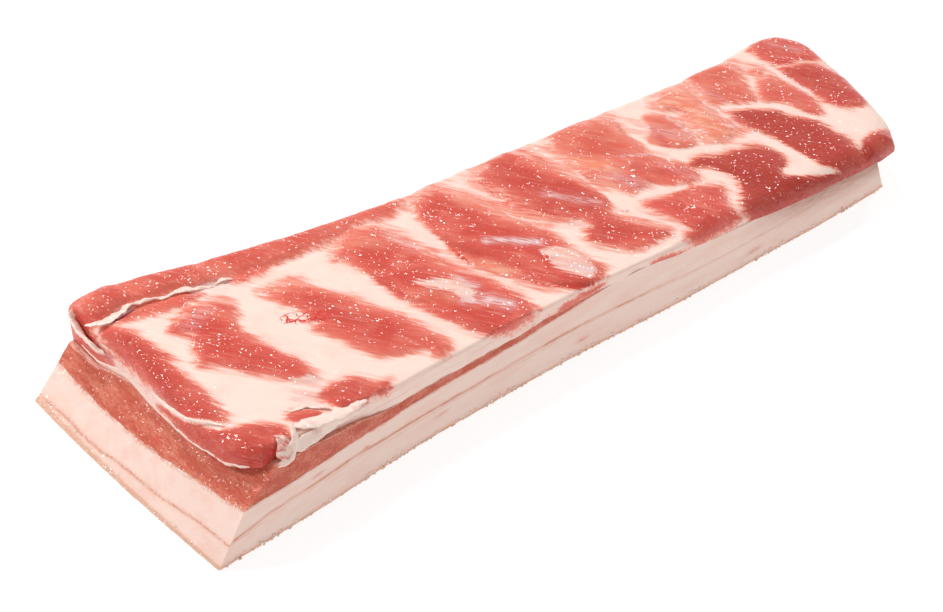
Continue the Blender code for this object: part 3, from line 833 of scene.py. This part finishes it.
def rib_meat_finish():
    """Raw rib meat and fat, cut by knife and wet: pinkish red muscle that feathers out into fat."""
    colours = bpy.context.scene.pork_slab_colours
    finish = Finish("raw_rib_meat_and_fat")
    lean, tone, patch, veil = finish.fields("lean", "tone", "patch", "veil")
    blood, side, wet = finish.fields("blood", "side", "wet")
    bundles = finish.lumps(4.0, 5.0, 3.0)
    fibres = finish.lumps(1.3, 12.0, 2.0, 3.0)
    fine = finish.lumps(0.9, 10.0, 1.0, 7.0)
    cloud = finish.lumps(15.0, 1.6, 3.0, 2.0)
    # The edge of the lean is pushed in and out by the bundles and fibres, by about its own softness.
    pushed = finish.node(MATHS, lean, finish.node(RANGE, bundles, 0.2, 0.8, -1.5, 1.5), operation="ADD")
    depth = finish.node(MATHS, pushed, finish.node(RANGE, fibres, 0.2, 0.8, -1.6, 1.6), operation="ADD")
    in_lean = finish.node(RANGE, depth, -0.4, 1.6, 0.0, 1.0, **SMOOTH)
    in_fat = finish.node(RANGE, depth, -0.5, -2.5, 0.0, 1.0, **SMOOTH)
    deepening = [((finish.node(RANGE, depth, low, high, 0.0, 1.0, **SMOOTH),), linear(colour))
                 for low, high, colour in ((-2.8, -1.2, "FACFC2"), (-1.5, -0.1, "F4A592"),
                                           (-0.3, 1.1, "E77160"), (0.8, 2.6, "DC594A"),
                                           (2.4, 6.5, "D2493A"))]
    # Pale streaks are the fat between bundles of fibres, and red ones are bundles cut deeper.
    pale = finish.node(RANGE, fibres, 0.54, 0.72, 0.0, 0.4, **SMOOTH)
    red = finish.node(RANGE, fine, 0.47, 0.3, 0.0, 0.45, **SMOOTH)
    light = finish.node(RANGE, cloud, 0.46, 0.66, 0.0, 0.6, **SMOOTH)
    deep = finish.node(RANGE, tone, 0.0, -1.0, 0.0, 0.9)
    orange = finish.node(RANGE, tone, 0.0, 1.0, 0.0, 0.9)
    # Cream patches with a ragged edge, and the bluish membrane that runs over them.
    ragged = finish.node(MATHS, patch, finish.node(RANGE, fibres, 0.25, 0.75, -2.6, 2.6), operation="ADD")
    cream = finish.node(RANGE, ragged, -1.8, 1.8, 0.0, 0.85, **SMOOTH)
    tinted = finish.node(RANGE, bundles, 0.42, 0.62, 0.0, 0.75, **SMOOTH)
    thin = finish.node(RANGE, fine, 0.38, 0.6, 0.15, 1.0, **SMOOTH)
    # Veins of blood run between cells 5 mm wide, pushed about by up to 6 mm.
    pushes = finish.node(NOISE, finish.place, 260.0, 2.0, output="Color")
    reach = (6 * METRES_PER_MM,) * 3
    astray = finish.node(VECTOR_MATHS, pushes, reach, finish.place, operation="MULTIPLY_ADD")
    vein = finish.node(VORONOI, astray, 1 / (5 * METRES_PER_MM), feature="DISTANCE_TO_EDGE")
    line = finish.node(RANGE, vein, 0.12, 0.04, 0.0, 1.0, **SMOOTH)
    bled = finish.node(RANGE, blood, 0.25, 0.7, 0.0, 1.0, **SMOOTH)
    soaked = finish.node(RANGE, blood, 0.4, 1.0, 0.0, 0.5, **SMOOTH)
    # On the cut wall the layers of fat and thin lean lie flat.
    layers = finish.lumps(1.5, 26.0, 3.0, 1.0, 0.8, 0.0)
    layered = finish.node(RANGE, layers, 0.52, 0.68, 0.0, 0.38, **SMOOTH)
    warm = finish.node(RANGE, cloud, 0.46, 0.7, 0.0, 0.5, **SMOOTH)
    buttery = finish.node(RANGE, bundles, 0.45, 0.62, 0.0, 0.8, **SMOOTH)
    colour = finish.painted(linear("FBDDD0"), (
        ((warm,), linear("F9CDBD")),
        *deepening,
        ((light, in_lean), linear("E97764")),
        ((pale, in_lean), linear("F2A193")),
        ((red, in_lean), linear("C94437")),
        ((deep, in_lean), colours.deep_lean),
        ((orange, in_lean), linear("F4906F")),
        ((orange, in_lean, buttery), linear("FAC4AC")),
        ((cream,), linear("FBDCCF")),
        ((cream, tinted), linear("F0A898")),
        ((veil, thin), colours.membrane),
        ((bled, line), colours.blood),
        ((soaked, in_lean), colours.blood),
        # Painted shade: the fat on the cut wall is painted a little greyer and darker than the fat on the
        # top.
        ((side, in_fat, 0.1), linear("EBDAD2")),
        ((layered, side, in_fat), linear("E3A897")),
    ))
    height = finish.node(RANGE, depth, -1.0, 1.5, 0.02, 0.12, **SMOOTH)
    relief = finish.node(MATHS, fibres, height, operation="MULTIPLY")
    # The wet film stands in flecks about a millimetre wide, steep where it is thin and calmer where
    # it is wettest. Fat sheds the film, so that it shines less than the lean.
    thin_film = finish.node(RANGE, finish.lumps(10.0, 1.0, 2.0, 5.0), 0.42, 0.6, 1.7, 0.9, **SMOOTH)
    steepness = finish.node(MIX, wet, thin_film, 0.6)
    film = finish.node(MATHS, finish.flecks(0.7), steepness, operation="MULTIPLY")
    shine = finish.node(RANGE, depth, -1.5, 0.5, 0.12, 0.6)
    finish.tree.links.new(shine, finish.shader.inputs["Coat Weight"])
    return finish.finish(colour, relief, film, Roughness=0.5, Subsurface_Weight=0.1,
                         Subsurface_Scale=0.001)


def lower_lean_finish():
    """Raw lean cut across its grain: brownish red, with a fine pale network between the bundles."""
    colours = bpy.context.scene.pork_slab_colours
    finish = Finish("raw_lean_cut_across_the_grain")
    edge, blood = finish.fields("edge", "blood")
    grain = finish.lumps(1.1, 3.5, 3.0, 4.0, 1.0, 90.0)
    cloud = finish.lumps(9.0, 2.5, 3.0, 3.0, 0.5, 90.0)
    # The net between the bundles: long cells a few millimetres wide, pulled about by noise.
    spot = finish.cells((3.0, 10.0, 2.2), angle=0)
    pushes = finish.node(NOISE, finish.place, 300.0, 3.0, output="Color")
    pulled = finish.node(VECTOR_MATHS, pushes, (1.6, 1.6, 1.6), spot, operation="MULTIPLY_ADD")
    gap = finish.node(VORONOI, pulled, 1.0, feature="DISTANCE_TO_EDGE")
    net = finish.node(RANGE, gap, 0.10, 0.0, 0.0, 0.5, **SMOOTH)
    netted = finish.node(RANGE, cloud, 0.36, 0.55, 0.0, 1.0)
    ragged = finish.node(RANGE, grain, 0.2, 0.8, -1.0, 1.0)
    to_edge = finish.node(MATHS, edge, ragged, operation="ADD")
    colour = finish.painted(linear("C75E49"), (
        ((finish.node(RANGE, cloud, 0.4, 0.65, 0.0, 0.7, **SMOOTH),), linear("D97C64")),
        ((finish.node(RANGE, grain, 0.5, 0.3, 0.0, 0.6, **SMOOTH),), linear("AE412F")),
        ((finish.node(RANGE, grain, 0.55, 0.75, 0.0, 0.4, **SMOOTH),), linear("E2876F")),
        ((net, netted), linear("E99B84")),
        ((finish.node(RANGE, to_edge, 0.7, -0.3, 0.0, 0.85, **SMOOTH),), linear("EDB5A2")),
        ((finish.node(RANGE, blood, 0.3, 0.8, 0.0, 0.9, **SMOOTH),), colours.blood),
    ))
    relief = finish.node(MATHS, grain, 0.25, operation="MULTIPLY")
    film = finish.node(MATHS, finish.flecks(0.8), 0.8, operation="MULTIPLY")
    return finish.finish(colour, relief, film, Roughness=0.5, Coat_Weight=0.2, Subsurface_Weight=0.1,
                         Subsurface_Scale=0.001)


def back_fat_finish():
    """Back fat cut smooth: peach white, with thin tan lines of connective tissue and a tan rind."""
    colours = bpy.context.scene.pork_slab_colours
    finish = Finish("raw_back_fat_with_rind")
    line, faint, rind, spot, overhang_shade_and_stain, seam = finish.fields("line", "faint", "rind", "spot", "overhang_shade_and_stain", "seam")
    cloud = finish.lumps(11.0, 2.5, 4.0, 0.0, 0.7, 0.0)
    grain = finish.lumps(1.6, 4.0, 3.0, 2.0, 0.7, 0.0)
    stretches = finish.lumps(9.0, 3.0, 3.0, 5.0, 1.0, 0.0)
    broken = finish.node(RANGE, stretches, 0.36, 0.5, 0.35, 1.0, **SMOOTH)
    wander = finish.node(RANGE, grain, 0.25, 0.75, -0.45, 0.45)
    lined, fainter, near_rind = (finish.node(MATHS, field, wander, operation="ADD")
                                 for field in (line, faint, rind))
    seamed = finish.node(RANGE, seam, 1.8, 0.2, 0.0, 0.8, **SMOOTH)
    mottled = finish.node(RANGE, grain, 0.4, 0.62, 0.0, 1.0)
    rind_edge = finish.node(RANGE, near_rind, 2.8, 1.6, 0.0, 0.8, **SMOOTH)
    pores = finish.node(VORONOI, finish.place, 1 / (3.2 * METRES_PER_MM), feature="F1")
    pore = finish.node(MATHS, finish.node(RANGE, pores, 0.25, 0.05, 0.0, 1.0, **SMOOTH),
                       finish.node(RANGE, rind, 0.3, 0.0, 0.0, 1.0), operation="MULTIPLY")
    colour = finish.painted(colours.back_fat, (
        ((finish.node(RANGE, cloud, 0.42, 0.68, 0.0, 0.6, **SMOOTH),), linear("F2C8B8")),
        ((finish.node(RANGE, grain, 0.55, 0.75, 0.0, 0.3, **SMOOTH),), linear("F3C3B2")),
        ((finish.node(RANGE, lined, 2.6, 0.3, 0.0, 0.4, **SMOOTH),), linear("E9AE98")),
        ((finish.node(RANGE, lined, 1.3, 0.2, 0.0, 0.95, **SMOOTH), broken), linear("D58F78")),
        ((finish.node(RANGE, fainter, 0.9, 0.1, 0.0, 0.5, **SMOOTH), broken), linear("E2AD98")),
        ((seamed, mottled), linear("DE9380")),
        ((finish.node(RANGE, near_rind, 4.6, 1.6, 0.0, 0.45, **SMOOTH),), linear("EBBFAA")),
        ((rind_edge, finish.node(RANGE, grain, 0.3, 0.55, 0.45, 1.0)), colours.rind),
        ((spot, finish.node(RANGE, grain, 0.35, 0.6, 0.3, 1.0)), linear("D8806A")),
        # Brown under the far end's overhang: partly painted shade of the overhang, partly a stain.
        ((overhang_shade_and_stain, finish.node(RANGE, grain, 0.25, 0.6, 0.55, 1.0)), linear("A8725A")),
        ((pore, 0.5), linear("B57F66")),
    ))
    bump = finish.node(MATHS, finish.node(MATHS, grain, 0.2, operation="MULTIPLY"),
                       finish.node(MATHS, pore, 0.2, operation="MULTIPLY"), operation="SUBTRACT")
    film = finish.node(MATHS, finish.flecks(1.0), finish.node(RANGE, rind, 5.0, 1.0, 0.3, 0.9),
                       operation="MULTIPLY")
    return finish.finish(colour, bump, film, Roughness=0.5, Coat_Weight=0.35, Subsurface_Weight=0.25,
                         Subsurface_Scale=0.002)


def membrane_finish():
    """Thin skin of connective tissue, torn and wet: cream white, and red where meat hangs on it."""
    colours = bpy.context.scene.pork_slab_colours
    finish = Finish("torn_connective_membrane")
    meat, bruise = finish.fields("meat", "bruise")
    lumps = finish.lumps(2.5, 2.0, 3.0, 1.0)
    edge = finish.node(MATHS, meat, finish.node(RANGE, lumps, 0.3, 0.7, -0.35, 0.35), operation="ADD")
    colour = finish.painted(linear("FDE2D4"), (
        ((finish.node(RANGE, lumps, 0.5, 0.72, 0.0, 0.7, **SMOOTH),), linear("F4C4B8")),
        ((finish.node(RANGE, edge, 0.3, 0.8, 0.0, 0.9, **SMOOTH),), linear("DC6A60")),
        ((finish.node(RANGE, bruise, 0.2, 0.9, 0.0, 0.9, **SMOOTH),), colours.clot),
    ))
    relief = finish.node(MATHS, lumps, 0.5, operation="MULTIPLY")
    film = finish.node(MATHS, finish.flecks(1.0), 0.8, operation="MULTIPLY")
    return finish.finish(colour, relief, film, Roughness=0.45, Coat_Weight=0.6, Subsurface_Weight=0.05,
                         Subsurface_Scale=0.0005)


def crumb_finish():
    """Crumbs of fat and rind that the knife left on the lower edge: wet, cream to tan."""
    finish = Finish("wet_crumbs_of_fat_and_rind")
    (tan,) = finish.fields("tan")
    colour = finish.painted(linear("FFEFE6"), (((tan,), linear("F0C9B2")),))
    lumps = finish.node(MATHS, finish.lumps(0.8, 1.0, 1.0), 0.12, operation="MULTIPLY")
    return finish.finish(colour, lumps, lumps, Roughness=0.4, Coat_Weight=0.9, Subsurface_Weight=0.0)


def ride_and_replace(piece, node):
    """Hangs the piece on the root body and hides the solid of that name, which it stands in for."""
    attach(piece, "root")
    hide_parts(node)


class PorkSlabSizes(bpy.types.PropertyGroup):
    """Sizes that shape the surfaces, in millimetres."""

    rib_swell: FloatProperty(name="Rib swell", default=1.3,
                             description="Height of a rib muscle above the fat, mm")
    groove_depth: FloatProperty(name="Groove depth", default=0.7,
                                description="Depth of the troughs of the ribs, mm")
    fibre_relief: FloatProperty(name="Fibre relief", default=0.15,
                                description="Height of the bundles of fibres, mm")
    fat_relief: FloatProperty(name="Fat relief", default=0.38,
                              description="Height of the lumps in the fat, mm")


def colour_property(name, description, colour):
    """Property that holds a colour, with an sRGB hex value to start with."""
    return FloatVectorProperty(name=name, description=description, subtype="COLOR", size=4,
                               default=linear(colour), min=0, max=1)


class PorkSlabColours(bpy.types.PropertyGroup):
    """Colours of the finishes."""

    back_fat: colour_property("Back fat", "Fat on the rind", "F6D8CB")
    deep_lean: colour_property("Deep lean", "Darkest red meat", "AA2C1A")
    membrane: colour_property("Membrane", "Thin bluish skin over lean", "EDCBC9")
    blood: colour_property("Blood", "Blood soaked into the surface", "D53A30")
    clot: colour_property("Clot", "Dark blood that has set", "8E3A4C")
    rind: colour_property("Rind", "Cut edge and underside of the skin", "D9A386")


class PORKSLAB_OT_rib_layer(bpy.types.Operator):
    """Adds the rib muscles and the fat between them"""

    bl_idname = "pork_slab.rib_layer"
    bl_label = "Rib layer"

    def execute(self, context):
        sizes = context.scene.pork_slab_sizes
        lattice, quads, polygons = box_skin(RIB_CELLS, True)
        points = place_rib_layer(*lattice.T)
        normals = outward(points, quads)
        x, y = seen_on_top(points)
        depth, tone, soft = lean_fields(x, y)
        in_lean = smooth_step(-2, 3, depth)
        fibre = rough(along_fibres(points), 2.2, 41, 2)
        lumps = rough(points, 11.0, 51, 3)
        relief = sizes.fibre_relief * fibre * in_lean + sizes.fat_relief * lumps * (1 - 0.5 * in_lean)
        patch = np.max([depth_inside(outline, x, y, 6.0) for outline in CREAM_PATCHES], axis=0)
        # Share of the cut wall, where the fat is layered and also painted a little greyer as shade.
        side = smooth_step(0.75, 0.45, lattice[:, 2])
        fields = {"lean": depth / soft, "tone": tone, "patch": patch, "side": side,
                  "veil": stroke_cover(VEIL_STROKES, x, y), "blood": stroke_cover(BLOOD_STROKES, x, y),
                  "wet": stroke_cover(WET_STROKES, x, y)}
        moved = points + normals * relief[:, None]
        piece = add_piece("rib_meat_and_fat", moved, quads.tolist() + polygons, fields, rib_meat_finish())
        ride_and_replace(piece, "rib_layer")
        return {"FINISHED"}


class PORKSLAB_OT_lower_lean(bpy.types.Operator):
    """Adds the lean between the back fat and the rib layer"""

    bl_idname = "pork_slab.lower_lean"
    bl_label = "Lower lean"

    def execute(self, context):
        lattice, quads, polygons = box_skin(LEAN_CELLS, False)
        points = place_lower_lean(*lattice.T)
        normals = outward(points, quads)
        x, y, z = points.T
        relief = 0.25 * rough(points, 3.5, 61, 2) + 0.3 * rough(points, 12.0, 65, 2)
        to_edge = np.minimum(z - fat_top(x, y), meat_bottom(x, y) - z)
        spot = 0.6 * bump(np.hypot((y - 70) / 1.6, z - 23), 2.6) * (x < 60)
        moved = points + normals * relief[:, None]
        piece = add_piece("lower_lean_meat", moved, quads.tolist() + polygons,
                          {"edge": to_edge, "blood": spot}, lower_lean_finish(), sharp=True)
        ride_and_replace(piece, "lower_lean")
        return {"FINISHED"}


class PORKSLAB_OT_back_fat(bpy.types.Operator):
    """Adds the back fat with the rind under it"""

    bl_idname = "pork_slab.back_fat"
    bl_label = "Back fat"

    def execute(self, context):
        lattice, quads, polygons = box_skin(FAT_CELLS, False)
        points = place_back_fat(*lattice.T)
        normals = outward(points, quads)
        x, y, z = points.T
        near_rind = bump(z - 1.2, 1.6)
        relief = 0.2 * rough(points, 14.0, 71, 2) + near_rind * (0.25 + 0.25 * rough(points, 3.0, 75, 3))
        relief = np.where(z < 0.6, relief - 0.6 * (0.6 - z), relief)
        wander = 0.5 * rough(flat(x, y), 25.0, 81)
        height = np.where(lattice[:, 0] > 0, curve(TAN_LINE, x), curve(END_LINE, y))
        spot = np.max([bump((x - at_x) / half_x, 1) * bump((z - at_z) / half_z, 1)
                       for at_x, at_z, half_x, half_z in SPOTS], axis=0)
        in_end = 3.0 * (lattice[:, 0] == 0)
        # Brown just under the seam at the far end, beneath the rib layer's overhang: partly painted
        # shade, partly a stain.
        overhang_shade_and_stain = bump(z - fat_top(x, y), 12) * smooth_step(325, 400, x) * (lattice[:, 1] == 0)
        fields = {"line": abs(z - height - wander) + 0.7 * smooth_step(240, 330, x) + in_end / 8,
                  "faint": abs(z - curve(FAINT_LINE, x) - wander) + smooth_step(200, 280, x) + in_end,
                  "rind": z, "spot": spot * (lattice[:, 1] == 0), "overhang_shade_and_stain": overhang_shade_and_stain,
                  "seam": fat_top(x, y) - z + 9 * smooth_step(225, 265, x)}
        moved = points + normals * relief[:, None]
        moved[:, 2] = np.maximum(moved[:, 2], 0)
        rind_only = np.arange(len(quads), len(quads) + len(polygons) // 2)
        piece = add_piece("back_fat_and_rind", moved, quads.tolist() + polygons, fields,
                          back_fat_finish(), rind_only, sharp=True)
        ride_and_replace(piece, "back_fat")
        return {"FINISHED"}


class PORKSLAB_OT_membranes(bpy.types.Operator):
    """Adds the torn strips of membrane: on the top, at the corner of the flap and along its lower rim"""

    bl_idname = "pork_slab.membranes"
    bl_label = "Membranes"

    def execute(self, context):
        share = np.linspace(*RIM_SHARES, 24)
        rim = place_rib_layer(0 * share, share, 0 * share + 0.04) + (0.4, 0, 0.3)
        widths = 0.75 + 0.45 * rough(flat(share * 150, share), 14.0, 91)
        strips = [(1.8, 0.6, 70, 0.9, 0.0, 0.0, np.column_stack((rim, widths)))]
        for *look, path in TOP_STRIPS:
            path = np.array(path, dtype=float)
            path[:, 2] += slab_top(path[:, 0], path[:, 1])
            strips.append((*look, path))
        strips += [(*look, np.array(path, dtype=float)) for *look, path in LOOSE_STRIPS]
        points, faces, meat, bruise = [], [], [], []
        for seed, (half_width, half_thickness, tilt, crumple, meaty, bruised, path) in enumerate(strips):
            strip, strip_faces = ribbon(path, half_width, half_thickness, tilt, crumple, 101 + 7 * seed)
            first = sum(map(len, points))
            faces += [[first + corner for corner in face] for face in strip_faces]
            points.append(strip)
            meat.append(np.full(len(strip), meaty))
            bruise.append(np.full(len(strip), bruised))
        fields = {"meat": np.concatenate(meat), "bruise": np.concatenate(bruise)}
        piece = add_piece("torn_membranes", np.concatenate(points), faces, fields, membrane_finish())
        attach(piece, "root")
        return {"FINISHED"}


class PORKSLAB_OT_crumbs(bpy.types.Operator):
    """Adds the crumbs along the lower edge, lying against it"""

    bl_idname = "pork_slab.crumbs"
    bl_label = "Crumbs"

    def execute(self, context):
        chance = np.random.default_rng(5)
        along_side, along_end = CRUMBS
        side_x = chance.uniform(4, 448, along_side)
        end_y = chance.uniform(2, 150, along_end)
        radius = chance.uniform(*CRUMB_RADIUS, along_side + along_end)
        height = chance.uniform(0.1, 1.0, len(radius)) ** 2 * 3.4 + 0.4 * radius
        foot = np.concatenate((side_x, butt_face(end_y / BUTT_WIDTH, height[along_side:]) + 0.1))
        depth = np.concatenate((curve(CUT_SIDE, side_x) - 0.25, end_y))
        centres = np.stack((foot, depth, height), axis=1)
        ball, ball_faces = rough_ball()
        sizes = radius[:, None] * chance.uniform(0.6, 1.3, (len(radius), 3))
        points = centres[:, None, :] + sizes[:, None, :] * ball[None]
        points[..., 2] = np.maximum(points[..., 2], 0)
        faces = (np.arange(len(radius))[:, None, None] * len(ball) + ball_faces[None]).reshape(-1, 3)
        tan = np.repeat(chance.uniform(0, 1, len(radius)) ** 2, len(ball))
        piece = add_piece("edge_crumbs", points.reshape(-1, 3), faces.tolist(), {"tan": tan},
                          crumb_finish())
        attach(piece, "root")
        return {"FINISHED"}


class PORKSLAB_OT_stage(bpy.types.Operator):
    """Adds the floor, the lights and the camera"""

    bl_idname = "pork_slab.stage"
    bl_label = "Stage"

    def execute(self, context):
        scene = context.scene
        half = 4.0
        corners = ((-half, -half, 0), (half, -half, 0), (half, half, 0), (-half, half, 0))
        mesh = bpy.data.meshes.new("floor")
        mesh.from_pydata(corners, [], [(0, 1, 2, 3)])
        floor = bpy.data.objects.new("floor", mesh)
        floor.location.z = -0.0002
        scene.collection.objects.link(floor)
        # Opal acrylic lit from below: plain white, with hardly a shadow on it.
        finish = Finish("lit_opal_acrylic")
        finish.shader.inputs["Base Color"].default_value = linear("A8A8A8")
        finish.shader.inputs["Roughness"].default_value = 0.8
        finish.shader.inputs["Specular IOR Level"].default_value = 0.0
        finish.shader.inputs["Emission Color"].default_value = (1, 1, 1, 1)
        finish.shader.inputs["Emission Strength"].default_value = 0.76
        mesh.materials.append(finish.material)
        add_light("left_window", (-0.85, 0.75, 0.85), (0, 0, 0.02), 0.28, 6.5, "FFFFFF")
        add_light("back_soft_box", (0.10, 0.90, 2.05), (0, 0, 0), 0.42, 15.5, "FFFFFF")
        add_light("right_lamp", (1.60, 0.50, 1.20), (0.1, 0, 0), 0.28, 6.5, "FFFFFF")
        world = bpy.data.worlds.new("studio")
        world.use_nodes = True
        world.node_tree.nodes["Background"].inputs["Color"].default_value = (1, 1, 1, 1)
        world.node_tree.nodes["Background"].inputs["Strength"].default_value = 0.54
        scene.world = world
        scene.view_settings.view_transform = "Standard"
        data = bpy.data.cameras.new("camera")
        data.lens = LENS
        data.sensor_width = SENSOR
        data.clip_start = 0.01
        camera = bpy.data.objects.new("camera", data)
        heading = Matrix.Rotation(math.radians(-HEADING), 4, "Z")
        pitch = Matrix.Rotation(math.radians(90 - PITCH), 4, "X")
        camera.matrix_world = Matrix.Translation(Vector(in_row_frame(np.array(EYE)))) @ heading @ pitch
        scene.collection.objects.link(camera)
        scene.camera = camera
        return {"FINISHED"}


def add_light(name, place, aim, size, watts, colour):
    """Square soft box at a place, facing a point."""
    data = bpy.data.lights.new(name, "AREA")
    data.size = size
    data.energy = watts
    data.color = linear(colour)[:3]
    light = bpy.data.objects.new(name, data)
    light.location = place
    light.rotation_euler = (Vector(aim) - Vector(place)).to_track_quat("-Z", "Y").to_euler()
    bpy.context.scene.collection.objects.link(light)


class PORKSLAB_PT_panel(bpy.types.Panel):
    """Sizes, colours and pieces of the slab"""

    bl_label = "Pork slab"
    bl_space_type = "VIEW_3D"
    bl_region_type = "UI"
    bl_category = "Pork slab"

    def draw(self, context):
        for settings in (context.scene.pork_slab_sizes, context.scene.pork_slab_colours):
            for name in settings.__annotations__:
                self.layout.prop(settings, name)
        for operator in OPERATORS:
            self.layout.operator(operator.bl_idname)


SETTINGS = (PorkSlabSizes, PorkSlabColours)
OPERATORS = (PORKSLAB_OT_stage, PORKSLAB_OT_back_fat, PORKSLAB_OT_lower_lean, PORKSLAB_OT_rib_layer,
             PORKSLAB_OT_membranes, PORKSLAB_OT_crumbs)


def register():
    for item in (*SETTINGS, *OPERATORS, PORKSLAB_PT_panel):
        bpy.utils.register_class(item)
    bpy.types.Scene.pork_slab_sizes = PointerProperty(type=PorkSlabSizes)
    bpy.types.Scene.pork_slab_colours = PointerProperty(type=PorkSlabColours)


def unregister():
    del bpy.types.Scene.pork_slab_colours
    del bpy.types.Scene.pork_slab_sizes
    for item in reversed((*SETTINGS, *OPERATORS, PORKSLAB_PT_panel)):
        bpy.utils.unregister_class(item)


def main():
    """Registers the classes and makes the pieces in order."""
    register()
    for operator in OPERATORS:
        group, name = operator.bl_idname.split(".")
        getattr(getattr(bpy.ops, group), name)()


if __name__ == "__main__":
    main()
